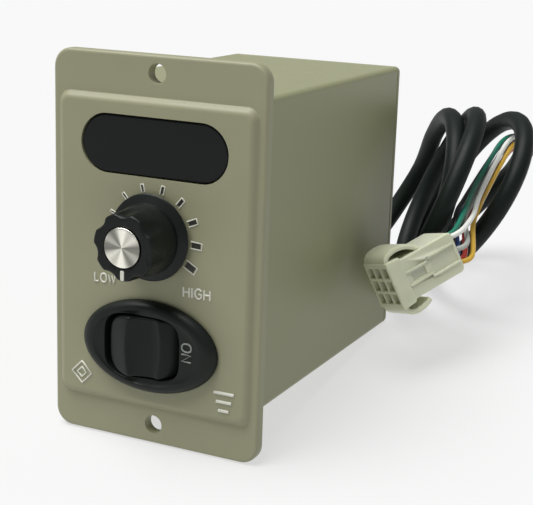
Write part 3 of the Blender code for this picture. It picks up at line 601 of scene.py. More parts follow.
def rounding(radius: float, steps: int = 4) -> list[Point]:
    """Return a rounded edge as (inset, drop) pairs, from its side to its face."""
    angles = [math.pi / 2 * step / steps for step in range(steps + 1)]
    return [(radius * (1 - math.cos(angle)), radius * (1 - math.sin(angle))) for angle in angles]


# ---------------------------------------------------------------- meshes

def face_frame() -> Matrix:
    """Work out where the face frame lies from the knob's joint.

    Returns:
        The matrix from the face frame to the table, in metres.
    """
    joints = {joint["name"]: joint for joint in frame["record"]["behaviour"]["joints"]}
    outward = -Vector(joints["knob_turn"]["axis"])
    upward = outward.cross(Vector((1.0, 0.0, 0.0)))
    turn = Matrix((Vector((1.0, 0.0, 0.0)), upward, outward)).transposed().to_4x4()
    centre = Vector(joints["knob_turn"]["pos_m"]) - upward * (KNOB_Y * MM)
    return Matrix.Translation(centre) @ turn


def set_down(name: str, data: bpy.types.ID) -> bpy.types.Object:
    """Add an object to the scene.

    Args:
        name: The object's name.
        data: Its mesh, curve, light or camera.

    Returns:
        The object.
    """
    made = bpy.data.objects.new(name, data)
    bpy.context.scene.collection.objects.link(made)
    return made


class Skin:
    """A mesh drawn in millimetres, ring by ring."""

    def __init__(self) -> None:
        """Start with nothing."""
        self.data = bmesh.new()

    def ring(self, outline: Outline, height: float) -> Ring:
        """Return the new corners of an outline laid flat at a height."""
        return [self.data.verts.new((x, y, height)) for x, y in outline]

    def bridge(self, lower: Ring, upper: Ring) -> None:
        """Join two rings of equally many corners with faces.

        Args:
            lower: One ring.
            upper: The other ring.
        """
        for index, corner in enumerate(lower):
            following = (index + 1) % len(lower)
            self.data.faces.new((corner, lower[following], upper[following], upper[index]))

    def stack(self, levels: list[tuple[Outline, float]]) -> tuple[Ring, Ring]:
        """Draw a wall through several levels.

        Args:
            levels: Each level's outline and height.

        Returns:
            The first and the last ring.
        """
        rings = [self.ring(outline, height) for outline, height in levels]
        for lower, upper in zip(rings, rings[1:]):
            self.bridge(lower, upper)
        return rings[0], rings[-1]

    def cap(self, ring: Ring) -> None:
        """Close a ring with one face."""
        self.data.faces.new(ring)

    def solid(self, levels: list[tuple[Outline, float]]) -> None:
        """Draw a wall through several levels, and close both of its ends."""
        for ring in self.stack(levels):
            self.cap(ring)

    def fill(self, *rings: Ring) -> None:
        """Fill a flat area.

        Args:
            rings: The ring round it, and then the rings of the holes in it.
        """
        edges = []
        for ring in rings:
            for first, second in zip(ring, ring[1:] + ring[:1]):
                found = self.data.edges.get((first, second))
                edges.append(found or self.data.edges.new((first, second)))
        bmesh.ops.triangle_fill(self.data, use_beauty=True, edges=edges, normal=(0, 0, 1))

    def box(self, low: tuple, high: tuple) -> None:
        """Add a plain block.

        Args:
            low: The corner with the smallest coordinates.
            high: The corner with the largest.
        """
        corners = bmesh.ops.create_cube(self.data, size=1.0)["verts"]
        size = Vector(high) - Vector(low)
        bmesh.ops.scale(self.data, vec=size, verts=corners)
        bmesh.ops.translate(self.data, vec=Vector(low) + size / 2, verts=corners)

    def piece(self, name: str, drawn_in: Matrix,
              hung_on: Matrix | None = None) -> bpy.types.Object:
        """Turn the drawing into an object.

        Args:
            name: The object's name.
            drawn_in: The frame that it was drawn in.
            hung_on: The object's own frame, where that is not the table's.

        Returns:
            The object.
        """
        own = hung_on or Matrix.Identity(4)
        bmesh.ops.recalc_face_normals(self.data, faces=self.data.faces)
        self.data.transform(own.inverted() @ drawn_in @ Matrix.Scale(MM, 4))
        mesh = bpy.data.meshes.new(name)
        self.data.to_mesh(mesh)
        self.data.free()
        mesh.shade_smooth()
        mesh.set_sharp_from_angle(angle=SHARP_EDGE)
        made = set_down(name, mesh)
        made.matrix_world = own
        weighted = made.modifiers.new("even_shading", "WEIGHTED_NORMAL")
        weighted.keep_sharp = True
        return made


def joined(base: bpy.types.Object, other: bpy.types.Object, operation: str) -> None:
    """Cut one object out of another, or join it on, and remove it.

    Args:
        base: The object that stays.
        other: The object that is used up.
        operation: DIFFERENCE or UNION.
    """
    modifier = base.modifiers.new("shape", "BOOLEAN")
    modifier.operation = operation
    modifier.object = other
    base.modifiers.move(len(base.modifiers) - 1, 0)
    bpy.context.view_layer.update()
    graph = bpy.context.evaluated_depsgraph_get()
    for later in list(base.modifiers)[1:]:
        later.show_viewport = False
    bpy.context.view_layer.update()
    mesh = bpy.data.meshes.new_from_object(base.evaluated_get(graph))
    base.modifiers.remove(modifier)
    for later in base.modifiers:
        later.show_viewport = True
    base.data = mesh
    mesh.name = base.name
    bpy.data.objects.remove(other, do_unlink=True)


def round_lines(name: str, lines: list[tuple[list[Vector], bool]], radius: float,
                resolution: int) -> bpy.types.Object:
    """Draw lines with a round section.

    Args:
        name: The object's name.
        lines: Each line's points in metres on the table, and whether it is closed.
        radius: The section's radius in millimetres.
        resolution: How finely the section is rounded.

    Returns:
        The lines as one curve object.
    """
    curve = bpy.data.curves.new(name, "CURVE")
    curve.dimensions = "3D"
    curve.bevel_depth = radius * MM
    curve.bevel_resolution = resolution
    curve.use_fill_caps = True
    for points, closed in lines:
        spline = curve.splines.new("POLY")
        spline.points.add(len(points) - 1)
        spline.use_cyclic_u = closed
        for target, point in zip(spline.points, points):
            target.co = (*point, 1.0)
    return set_down(name, curve)


def strokes(name: str, paths: list[tuple[list[tuple], bool]], radius: float) -> bpy.types.Object:
    """Draw raised lines on the controller's face, half sunk in it.

    Args:
        name: The object's name.
        paths: Each line's points in the face frame, and whether it is closed.
        radius: Half of the lines' width.

    Returns:
        The lines as one mesh object.
    """
    lines = [([FACE @ (Vector(point) * MM) for point in points], closed)
             for points, closed in paths]
    drawn = round_lines(name, lines, radius, 2)
    bpy.context.view_layer.update()
    mesh = bpy.data.meshes.new_from_object(
        drawn.evaluated_get(bpy.context.evaluated_depsgraph_get()))
    bpy.data.objects.remove(drawn, do_unlink=True)
    return set_down(name, mesh)


def hand_over(piece: bpy.types.Object, finish: Finish, body: Body = Body.CASE,
              stands_for: tuple[str, ...] = ()) -> bpy.types.Object:
    """Give a finished piece its finish and its body, and report it.

    Args:
        piece: The piece, in its place.
        finish: Its finish.
        body: What it moves with.
        stands_for: The frame's nodes that it replaces.

    Returns:
        The piece.
    """
    piece.data.materials.clear()
    piece.data.materials.append(material_of(finish))
    if stands_for:
        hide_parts(*stands_for)
    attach(piece, body.value)
    LOG.info("%s: %s on the %s", piece.name, finish.name, body.value)
    return piece


FACE = face_frame()


# ---------------------------------------------------------------- cable and connector

def polynomial(stations: tuple, values: tuple, at: float) -> float:
    """Evaluate the curve that passes through every station (Lagrange).

    Args:
        stations: Where the values are given.
        values: The value at each station.
        at: Where the value is wanted.

    Returns:
        The value there.
    """
    total = 0.0
    for index, value in enumerate(values):
        weight = 1.0
        for other, station in enumerate(stations):
            if other != index:
                weight *= (at - station) / (stations[index] - station)
        total += value * weight
    return total


def smooth_route(points: list, count: int) -> list[Vector]:
    """Lay evenly spaced points on a smooth curve through the given ones (Catmull-Rom).

    Args:
        points: The given points.
        count: How many are wanted.

    Returns:
        The wanted points.
    """
    given = [Vector(point) for point in points]
    given = [2 * given[0] - given[1]] + given + [2 * given[-1] - given[-2]]
    fine, steps = [], 16
    for a, b, c, d in zip(given, given[1:], given[2:], given[3:]):
        for step in range(steps):
            t = step / steps
            fine.append(0.5 * (2 * b + (c - a) * t + (2 * a - 5 * b + 4 * c - d) * t ** 2
                               + (3 * b - a - 3 * c + d) * t ** 3))
    fine.append(given[-2])
    lengths = [0.0]
    for first, second in zip(fine, fine[1:]):
        lengths.append(lengths[-1] + (second - first).length)
    route, position = [], 0
    for index in range(count):
        wanted = lengths[-1] * index / (count - 1)
        while position < len(fine) - 2 and lengths[position + 1] < wanted:
            position += 1
        span = lengths[position + 1] - lengths[position]
        share = min(max((wanted - lengths[position]) / span, 0.0), 1.0)
        route.append(fine[position].lerp(fine[position + 1], share))
    return route


def cord_curve(name: str, route: list[Vector], diameter: float) -> bpy.types.Object:
    """Return a round cord along a route in millimetres on the table."""
    return round_lines(name, [([point * MM for point in route], False)], diameter / 2, 5)


@dataclass(frozen=True)
class Core:
    """One wire of the cable: its colour, place in the sheath and cavity in the connector."""

    shade: str
    colour: Colour
    angle: float | None
    column: int
    row: int


@dataclass
class Connector:
    """The nylon housing on the cable's end, with nine cavities and two sprung ears.

    Its frame has +Z out of the mating face, +Y towards the upper ear and +X across.
    """

    place: tuple = (40.6, 15.5, 27.0)
    turn: tuple = (105.9, -18.5, -37.9)
    half_width: float = 6.6
    half_height: float = 6.3
    length: float = 24.0
    pitch: float = 4.1
    cavity: float = 3.3
    collar: float = 5.2
    corner: float = 0.45
    edge: float = 0.14
    ear_width: float = 12.4
    ear_thickness: float = 1.5
    ear_edge: float = 0.3
    ears: tuple = (
        ((-1.0, 6.2), (-1.1, 7.8), (-2.2, 8.9), (-4.8, 9.4), (-7.8, 9.0), (-10.4, 7.8),
         (-12.6, 5.8)),
        ((-1.0, -6.2), (-1.3, -8.2), (-2.7, -9.4), (-5.0, -9.8), (-7.6, -9.4), (-9.6, -8.6)),
    )

    def pose(self) -> Matrix:
        """Return the matrix from the connector's frame to the table, in metres."""
        turn = Euler([math.radians(angle) for angle in self.turn]).to_matrix().to_4x4()
        return Matrix.Translation(Vector(self.place) * MM) @ turn

    def cavity_point(self, column: int, row: int, depth: float) -> Vector:
        """Return a point on a cavity's middle line, in millimetres on the table."""
        local = Vector((column * self.pitch, row * self.pitch, -depth)) * MM
        return (self.pose() @ local) / MM

    def ear(self, path: tuple[Point, ...]) -> bpy.types.Object:
        """Make one sprung ear.

        Args:
            path: Its middle line as (z, y) points.

        Returns:
            The ear.
        """
        skin = Skin()
        line = smooth_route([(z, y, 0.0) for z, y in path], 28)
        half = self.ear_width / 2
        near = half - self.ear_edge
        rings = []
        for index, point in enumerate(line):
            along = line[min(index + 1, len(line) - 1)] - line[max(index - 1, 0)]
            across = Vector((-along.y, along.x, 0.0)).normalized() * self.ear_thickness / 2
            inner, outer = point - across, point + across
            rings.append([skin.data.verts.new(corner) for corner in (
                (-near, inner.y, inner.x), (near, inner.y, inner.x),
                (half, point.y, point.x), (near, outer.y, outer.x),
                (-near, outer.y, outer.x), (-half, point.y, point.x))])
        for first, second in zip(rings, rings[1:]):
            skin.bridge(first, second)
        skin.cap(rings[0])
        skin.cap(rings[-1])
        return skin.piece("ear", self.pose())

    def blocks(self, boxes: list[tuple]) -> bpy.types.Object:
        """Make one object of separate blocks.

        Args:
            boxes: Each block's lowest and highest corner.

        Returns:
            The object.
        """
        skin = Skin()
        for low, high in boxes:
            skin.box(low, high)
        return skin.piece("blocks", self.pose())

    def shell(self) -> bpy.types.Object:
        """Build the plain body with the collar round its mating end.

        Returns:
            The body.
        """
        end, corner = -self.length, self.corner
        profile = ((-1.2, -1.8, 0.8, end), (-0.4, -0.7, 0.6, end + 0.6),
                   (0.0, 0.0, corner, end + 1.5), (0.0, 0.0, corner, -self.collar),
                   (0.5, 1.6, corner, 0.6 - self.collar), (0.7, 2.2, corner, -0.5),
                   (0.1, 1.6, corner, 0.0))
        skin = Skin()
        skin.solid([(rounded_rectangle(2 * self.half_width + wider, 2 * self.half_height + taller,
                                       radius), height)
                    for wider, taller, radius, height in profile])
        return skin.piece("connector_housing_nylon", self.pose())

    def recesses(self) -> list[tuple]:
        """Lay out the hollows in both sides.

        Returns:
            The lowest and highest corner of each block that is cut out.
        """
        x, end = self.half_width, -self.length
        return [((x - 0.55, -1.35, -11.6), (x + 1, 1.35, -6.4)),
                ((x - 0.35, -2.6, end + 1.2), (x + 1, 2.6, -13.8)),
                ((-x - 1, -1.35, -11.6), (-x + 0.55, 1.35, -6.4)),
                ((-x - 1, -2.6, end + 1.2), (-x + 0.35, 2.6, -13.8))]

    def ridges(self) -> list[tuple]:
        """Lay out the ribs that stand on both sides, beside the recesses.

        Returns:
            Each rib's lowest and highest corner.
        """
        x, ridges = self.half_width, []
        strips = ((1.75, 2.35, -13.4, -5.0), (2.65, 3.25, 1.0 - self.length, -12.9),
                  (1.75, 3.25, -13.5, -12.8))
        for side in (-1, 1):
            near, far = sorted((side * (x - 0.2), side * (x + 0.32)))
            for sign in (-1, 1):
                for inner, outer, low, high in strips:
                    first, second = sorted((sign * inner, sign * outer))
                    ridges.append(((near, first, low), (far, second, high)))
        return ridges

    def cavities(self) -> list[tuple]:
        """Return the blocks that are cut out for the contacts, right through the housing."""
        half, places = self.cavity / 2, [step * self.pitch for step in (-1, 0, 1)]
        return [((x - half, y - half, -self.length - 2), (x + half, y + half, 2))
                for x in places for y in places]

    def build(self) -> bpy.types.Object:
        """Build the housing.

        Returns:
            The housing, handed over.
        """
        housing = self.shell()
        for path in self.ears:
            joined(housing, self.ear(path), "UNION")
        joined(housing, self.blocks(self.recesses()), "DIFFERENCE")
        for ridge in self.ridges():
            joined(housing, self.blocks([ridge]), "UNION")
        joined(housing, self.blocks(self.cavities()), "DIFFERENCE")
        housing.data.shade_smooth()
        housing.data.set_sharp_from_angle(angle=math.radians(30.0))
        edges = housing.modifiers.new("moulded_edges", "BEVEL")
        edges.width = self.edge * MM
        edges.segments = 2
        edges.limit_method = "ANGLE"
        edges.angle_limit = math.radians(40.0)
        housing.modifiers.move(len(housing.modifiers) - 1, 0)
        return hand_over(housing, NYLON, stands_for=("connector_housing",))


@dataclass
class Cable:
    """The strain relief, the coiled sheath and the seven cores that run to the connector."""

    start_depth: float = 84.0
    exit_depth: float = 99.5
    boot_start: float = 102.5
    boot_end: float = 124.5
    boot_radius: float = 6.2
    boot_tip: float = 4.3
    diameter: float = 6.2
    core_diameter: float = 1.6
    sheath_length: float = 0.68
    core_length: float = 0.089
    coil_start: float = 0.12
    coil_end: float = 3.05
    points_a_turn: int = 16
    cores: tuple = (
        Core("green", (0.012, 0.17, 0.11), 90.0, 0, 1),
        Core("white", (0.74, 0.75, 0.70), 30.0, 1, 1),
        Core("grey", (0.38, 0.40, 0.37), None, 1, 0),
        Core("yellow", (0.62, 0.38, 0.04), -30.0, 1, -1),
        Core("red", (0.42, 0.04, 0.025), -90.0, 0, -1),
        Core("blue", (0.025, 0.07, 0.30), -150.0, -1, -1),
        Core("black", (0.015, 0.016, 0.016), 150.0, -1, 0),
    )
    core_twist: float = 60.0
    bundle: tuple = ((54.6, 104.5, 48.3), (53.0, 95.5, 48.6), (51.8, 86.5, 45.0),
                     (51.3, 75.0, 41.2), (52.2, 62.0, 39.4), (53.6, 50.5, 38.0))
    bundle_spread: tuple = (2.0, 2.1, 2.2, 2.4, 2.6, 3.0)

    def coil_point(self, turn: float) -> Vector:
        """Find a point of the coil, whose loops lean and drift as they go.

        Args:
            turn: How many turns lie before it.

        Returns:
            The point, in millimetres on the table.
        """
        at = (-0.1, 0.8, 1.6, 2.4, 3.2)
        middle = Vector((polynomial(at, (23.0, 31.5, 41.5, 38.0, 43.5), turn),
                         polynomial(at, (79.5, 74.5, 73.5, 90.0, 80.5), turn),
                         polynomial(at, (-18.5, 41.0, 29.0, 33.5, 26.0), turn)))
        radius = polynomial(at, (29.7, 30.8, 29.5, 32.8, 27.8), turn)
        yaw = math.radians(polynomial(at, (14.0, 23.0, 6.5, 39.5, -92.0), turn))
        lean = math.radians(polynomial(at, (64.5, 10.5, 32.5, 34.0, -31.0), turn))
        stretch = polynomial(at, (1.24, 1.02, 1.02, 1.0, 1.04), turn)
        angle = math.pi - math.tau * turn
        near = Vector((math.sin(yaw), -math.cos(yaw), 0.0))
        side = Vector((math.cos(yaw), math.sin(yaw), 0.0))
        upward = side * math.sin(lean) + Vector((0.0, 0.0, math.cos(lean)))
        return middle + radius * (near * math.cos(angle) + upward * stretch * math.sin(angle))

    def on_gland_line(self, depth: float) -> Vector:
        """Return a point behind the panel on the gland's axis, in millimetres on the table."""
        return (FACE @ (Vector((*GLAND, -depth)) * MM)) / MM

    def sheath_route(self) -> list[Vector]:
        """Lead the sheath out of the gland, down to the table and into the coil.

        Returns:
            The points of its centre line.
        """
        inside = [self.on_gland_line(depth)
                  for depth in (self.start_depth, self.exit_depth, 112.0, self.boot_end)]
        lead = [(5.6, 87.0, 9.3), (7.6, 97.0, 12.0), (11.2, 104.8, 19.0)]
        turns = self.coil_end - self.coil_start
        steps = round(turns * self.points_a_turn)
        coil = [self.coil_point(self.coil_start + turns * step / steps)
                for step in range(steps + 1)]
        return smooth_route(inside + lead + coil, 360)

    def core_route(self, core: Core, connector: Connector) -> list[Vector]:
        """Lead one core from its place in the sheath through the bundle to its cavity.

        Args:
            core: The core.
            connector: The connector that it ends in.

        Returns:
            The points of its centre line.
        """
        end = self.coil_point(self.coil_end)
        along = (end - self.coil_point(self.coil_end - 0.04)).normalized()
        stations = [(end + along * 0.7, 1.95), (end + along * 3.2, 1.95)]
        stations += [(Vector(point), reach)
                     for point, reach in zip(self.bundle, self.bundle_spread)]
        route = []
        for index, (point, spread) in enumerate(stations):
            twist = self.core_twist * (1.0 - index / (len(stations) - 1))
            turned = math.radians((core.angle or 0.0) + twist)
            before = stations[max(index - 1, 0)][0]
            after = stations[min(index + 1, len(stations) - 1)][0]
            ahead = (after - before).normalized()
            right = -Vector((0.0, 0.0, 1.0)).cross(ahead).normalized()
            right = -right if right.x < 0 else right
            upward = right.cross(ahead)
            upward = -upward if upward.z < 0 else upward
            reach = 0.0 if core.angle is None else spread
            route.append(point + reach * (right * math.cos(turned)
                                          + upward * math.sin(turned)))
        for depth in (29.0, 24.0, 20.4):
            route.append(connector.cavity_point(core.column, core.row, depth))
        return smooth_route(route, 90)

    def boot(self) -> bpy.types.Object:
        """Build the strain relief, whose tapered boot is ringed with flexing grooves.

        Returns:
            The strain relief, handed over.
        """
        bore = self.diameter / 2 + 0.35
        profile = [(bore, -95.6), (6.5, -95.6), (6.5, -99.8), (8.1, -99.8), (8.4, -100.1),
                   (8.4, -101.7), (8.1, -102.0), (6.9, -102.15), (self.boot_radius, -102.6)]
        grooves, first, pitch = 6, 104.2, 3.2
        taper = (self.boot_radius - self.boot_tip) / (self.boot_end - self.boot_start)
        for number in range(grooves):
            at = first + number * pitch
            for along, depth in ((0.0, 0.0), (0.25, 0.12), (0.4, 0.55), (1.2, 0.55),
                                 (1.35, 0.12), (1.6, 0.0)):
                radius = self.boot_radius - (at + along - self.boot_start) * taper
                profile.append((radius - depth, -(at + along)))
        profile += [(4.35, -self.boot_end + 0.5), (4.15, -self.boot_end + 0.12),
                    (3.9, -self.boot_end), (bore, -self.boot_end)]
        skin = Skin()
        first_ring, last_ring = skin.stack([
            (circle(radius, GLAND, 64), height) for radius, height in profile])
        skin.bridge(last_ring, first_ring)
        return hand_over(skin.piece("strain_relief_boot", FACE), SATIN_BLACK,
                         stands_for=("cable_gland",))

    def build(self, connector: Connector, housing: bpy.types.Object) -> None:
        """Build the strain relief, the sheath and the cores.

        Args:
            connector: The connector's sizes and place.
            housing: The connector's housing. Not used.
        """
        boot = self.boot()
        sheath = hand_over(cord_curve("cable_sheath_jacket", self.sheath_route(),
                                      self.diameter), JACKET, stands_for=("cable_sheath",))
        for number, core in enumerate(self.cores, start=1):
            route = self.core_route(core, connector)
            wire = hand_over(cord_curve(f"core_{core.shade}", route, self.core_diameter),
                             insulation(core.shade, core.colour),
                             stands_for=(f"wire_{core.shade}",))
            route[0] * MM


# ---------------------------------------------------------------- panel and its markings

# Each letter's lines in a box one unit high, and its width
LETTERS = {
    "L": (0.55, [[(0, 1), (0, 0), (0.5, 0)]]),
    "O": (0.80, []),
    "W": (0.95, [[(0, 1), (0.22, 0), (0.45, 0.85), (0.68, 0), (0.9, 1)]]),
    "H": (0.72, [[(0, 0), (0, 1)], [(0.65, 0), (0.65, 1)], [(0, 0.5), (0.65, 0.5)]]),
    "I": (0.12, [[(0.03, 0), (0.03, 1)]]),
    "G": (0.80, [[(0.7, 0.8), (0.52, 0.98), (0.28, 0.98), (0.05, 0.75), (0, 0.5), (0.05, 0.25),
                  (0.28, 0.02), (0.52, 0.02), (0.72, 0.2), (0.72, 0.47), (0.42, 0.47)]]),
    "N": (0.70, [[(0, 0), (0, 1), (0.66, 0), (0.66, 1)]]),
}


def lettering(word: str, height: float, gap: float) -> tuple[list, float]:
    """Draw a word.

    Args:
        word: The word.
        height: The letters' height.
        gap: The space between letters.

    Returns:
        Its lines as (points, closed) pairs from the lower left corner, and its width.
    """
    paths, cursor = [], 0.0
    for letter in word:
        width, lines = LETTERS[letter]
        for line in lines:
            paths.append(([(cursor + x * height, y * height) for x, y in line], False))
        if letter == "O":
            middle = (cursor + width * height / 2 - 0.03, height / 2)
            paths.append((oval(width * height / 2 - 0.05, height / 2, middle, 2.3, 20), True))
        cursor += width * height + gap
    return paths, cursor - gap


@dataclass
class FrontPanel:
    """The flange and its raised face, with the openings, the speed scale and the markings."""

    width: float = 62.3
    height: float = 104.0
    thickness: float = 3.2
    corner: float = 5.0
    edge: float = 0.9
    raised_width: float = 58.6
    raised_height: float = 83.2
    raised_y: float = -0.2
    rise: float = 1.6
    raised_corner: float = 3.4
    slope_width: float = 2.4
    window: tuple = (43.2, 15.6, 28.6)
    shaft_hole: float = 5.1
    switch_clearance: float = 0.4
    screw_hole: float = 2.5
    screw_y: tuple = (47.3, -46.6)
    marks: int = 10
    first_mark: float = 210.0
    mark_step: float = 26.667
    lines: float = 0.2

    def openings(self) -> list[Outline]:
        """Return the outlines of the window, the shaft's hole and the switch's hole."""
        width, height, window_y = self.window
        return [stadium(width, height, window_y), circle(self.shaft_hole, (0, KNOB_Y)),
                RockerSwitch().sleeve(self.switch_clearance)]

    def flange_levels(self) -> list[tuple[Outline, float]]:
        """Draw the flange from its back to its rounded front edge.

        Returns:
            Its outline and height at each level.
        """
        steps = [(0.25, -self.thickness), (0.0, 0.25 - self.thickness)]
        steps += [(inset, -drop) for inset, drop in rounding(self.edge, 5)]
        return [(rounded_rectangle(self.width - 2 * inset, self.height - 2 * inset,
                                   self.corner - inset), height) for inset, height in steps]

    def raised_levels(self) -> list[tuple[Outline, float]]:
        """Draw the raised face up its rounded border.

        Returns:
            Its outline and height at each level.
        """
        shares = ((0.0, 0.0), (0.10, 0.05), (0.20, 0.20), (0.33, 0.47), (0.46, 0.70),
                  (0.60, 0.86), (0.75, 0.95), (0.88, 0.99), (1.0, 1.0))
        steps = [(self.slope_width * inset, self.rise * height) for inset, height in shares]
        return [(rounded_rectangle(self.raised_width - 2 * inset, self.raised_height - 2 * inset,
                                   self.raised_corner - inset * 0.8, (0, self.raised_y)),
                 height) for inset, height in steps]

    def panel(self) -> None:
        """Build the panel itself."""
        skin = Skin()
        back = -self.thickness
        outer_back, outer_front = skin.stack(self.flange_levels())
        base, crest = skin.stack(self.raised_levels())
        front_holes, back_holes = [], []
        for y in self.screw_y:
            top, bottom = skin.stack([
                (circle(self.screw_hole + wider, (0, y)), height)
                for wider, height in ((0.25, 0.0), (0.07, -0.08), (0.0, -0.25), (0.0, back))])
            front_holes.append(top)
            back_holes.append(bottom)
        skin.fill(outer_front, base, *front_holes)
        face_holes = []
        for outline in self.openings():
            top, bottom = skin.stack([(outline, self.rise), (outline, back)])
            face_holes.append(top)
            back_holes.append(bottom)
        skin.fill(crest, *face_holes)
        skin.fill(outer_back, *back_holes)
        hand_over(skin.piece("moulded_front_panel", FACE), PANEL, stands_for=("front_panel",))

    def scale(self) -> None:
        """Build the ten marks round the knob, which widen towards the fast end; each of the eight
        wider frames gets a dark plate of painted shade inside it.
        """
        frames, painted_shade_plates = [], Skin()
        for number in range(self.marks):
            share = number / (self.marks - 1)
            angle = math.radians(self.first_mark - self.mark_step * number)
            length, width = 1.7 + 2.0 * share ** 2, 0.5 + 1.6 * share ** 2
            along = Vector((math.cos(angle), math.sin(angle)))
            across = Vector((-along.y, along.x)) * width / 2
            middle = Vector((0, KNOB_Y)) + along * (11.9 - 0.6 * share + length / 2)
            inner, outer = middle - along * length / 2, middle + along * length / 2
            corners = [inner - across, outer - across, outer + across, inner + across]
            frames.append(([(*corner, self.rise) for corner in corners], False))
            # Painted shade: a dark plate inside each wider raised frame stands in for the shade
            # that falls there
            if number > 1:
                inset = [middle + (corner - middle) * 0.75 for corner in corners]
                painted_shade_plates.solid([(inset, self.rise - 0.2), (inset, self.rise + 0.06)])
        hand_over(strokes("speed_scale", frames, self.lines), PRINT)
        hand_over(painted_shade_plates.piece("speed_scale_painted_shade", FACE), SHADOW)

    def words(self) -> None:
        """Build the two words at the ends of the scale."""
        for word, centre, height in (("LOW", (-14.1, -7.5), 2.3), ("HIGH", (13.5, -7.6), 2.6)):
            paths, width = lettering(word, height, 0.6)
            placed = [([(centre[0] - width / 2 + x, centre[1] - height / 2 + y, self.rise)
                        for x, y in points], closed) for points, closed in paths]
            hand_over(strokes(f"word_{word.lower()}", placed, 0.27), PRINT)

    def emblems(self) -> None:
        """Build the two plain marks in the lower corners: a diamond and three bars."""
        at_x, at_y = -21.5, -35.0
        diamonds = [([(at_x + reach * x, at_y + reach * y, self.rise)
                      for x, y in ((1, 0), (0, 1), (-1, 0), (0, -1))], True)
                    for reach in (3.1, 3.1 * 0.45)]
        hand_over(strokes("corner_diamond", diamonds, 0.3), PRINT)
        at_x, at_y = 22.0, -35.5
        bars = [([(at_x + side * half, at_y + level, self.rise) for side in (-1, 1)], False)
                for level, half in ((2.4, 2.9), (0.0, 2.2), (-2.4, 1.5))]
        hand_over(strokes("corner_bars", bars, 0.45), PRINT)

    def build(self) -> None:
        """Build the panel and everything moulded or printed on it."""
        self.panel()
        self.scale()
        self.words()
        self.emblems()


# ---------------------------------------------------------------- case

@dataclass
class Case:
    """The open tube of the case with its screw posts, and the cover on its back."""

    width: float = 57.8
    height: float = 82.45
    centre_y: float = 1.875
    wall: float = 2.5
    edge: float = 1.8
    front: float = -3.5
    rear: float = -96.2
    cover_front: float = -96.5
    cover_rear: float = -99.5
    screw_x: float = 23.0
    screw_y: float = 35.3
    screw_bore: float = 1.6
    screw_head: float = 2.9
    head_depth: float = 1.5
    cable_hole: float = 6.8
    post: float = 8.0
    post_length: float = 14.0

    def outline(self, inset: float, corner: float) -> Outline:
        """Return the case's outline, drawn in by an inset."""
        return rounded_rectangle(self.width - 2 * inset, self.height - 2 * inset, corner,
                                 (0, self.centre_y))

    def screw_places(self) -> list[Point]:
        """Return where the four cover screws are."""
        return [(x, self.centre_y + y) for y in (self.screw_y, -self.screw_y)
                for x in (-self.screw_x, self.screw_x)]

    def body(self) -> None:
        """Build the tube and its posts."""
        skin = Skin()
        outside = [(self.outline(0.2, self.edge - 0.2), self.front),
                   (self.outline(0.0, self.edge), self.front - 0.2),
                   (self.outline(0.0, self.edge), self.rear + 0.25),
                   (self.outline(0.25, self.edge - 0.2), self.rear)]
        inside = [(self.outline(self.wall, 1.0), height) for height in (self.front, self.rear)]
        front_outer, rear_outer = skin.stack(outside)
        front_inner, rear_inner = skin.stack(inside)
        skin.bridge(front_outer, front_inner)
        skin.bridge(rear_outer, rear_inner)
        sunk = self.post / 2 + self.wall - 0.3
        heights = (self.rear + 0.05, self.rear + self.post_length)
        for sign_x in (-1, 1):
            for sign_y in (-1, 1):
                at = (sign_x * (self.width / 2 - sunk),
                      self.centre_y + sign_y * (self.height / 2 - sunk))
                square = rounded_rectangle(self.post, self.post, 0.5, at, 4)
                bore = circle(self.screw_bore, (sign_x * self.screw_x,
                                                self.centre_y + sign_y * self.screw_y), 20)
                low, high = skin.stack([(square, height) for height in heights])
                bore_low, bore_high = skin.stack([(bore, height) for height in heights])
                skin.fill(low, bore_low)
                skin.fill(high, bore_high)
        hand_over(skin.piece("moulded_case", FACE), CASE, stands_for=("case_body",))

    def cover(self) -> None:
        """Build the rear cover with its rounded rim, counterbores and cable hole."""
        skin = Skin()
        levels = [(self.outline(0.2, self.edge - 0.2), self.cover_front),
                  (self.outline(0.0, self.edge), self.cover_front - 0.2)]
        levels += [(self.outline(inset, self.edge - inset * 0.85), self.cover_rear + drop)
                   for inset, drop in rounding(self.edge, 6)]
        front, rear = skin.stack(levels)
        front_holes, rear_holes = [], []
        seat = self.cover_rear + self.head_depth
        for at in self.screw_places():
            through, head = circle(self.screw_bore, at, 24), circle(self.screw_head, at, 24)
            front_holes.append(skin.stack([(through, self.cover_front), (through, seat)])[0])
            rear_holes.append(skin.stack([(head, seat), (head, self.cover_rear)])[1])
        cable = circle(self.cable_hole, GLAND)
        top, bottom = skin.stack([(cable, self.cover_front), (cable, self.cover_rear)])
        skin.fill(front, *front_holes, top)
        skin.fill(rear, *rear_holes, bottom)
        hand_over(skin.piece("moulded_rear_cover", FACE), CASE, stands_for=("rear_cover",))

    def build(self) -> None:
        """Build the case and its cover."""
        self.body()
        self.cover()


# ---------------------------------------------------------------- display and knob

@dataclass
class Display:
    """The smoked window, a stadium with a softened front edge and a ledge behind the panel."""

    width: float = 42.6
    height: float = 15.0
    centre_y: float = 28.6
    front: float = 1.3
    ledge: float = -3.5

    def build(self) -> None:
        """Build the window."""
        skin = Skin()
        ledge = rounded_rectangle(47.0, 19.4, 3.0, (0, self.centre_y))
        low, high = skin.stack([(ledge, self.ledge - 1.2), (ledge, self.ledge)])
        skin.cap(low)
        steps = [(0.0, self.ledge)]
        steps += [(inset, self.front - drop) for inset, drop in rounding(0.45)]
        bottom, top = skin.stack([
            (stadium(self.width - 2 * inset, self.height - 2 * inset, self.centre_y), height)
            for inset, height in steps])
        skin.fill(high, bottom)
        skin.cap(top)
        hand_over(skin.piece("smoked_display_window", FACE), WINDOW,
                  stands_for=("window_lens",))


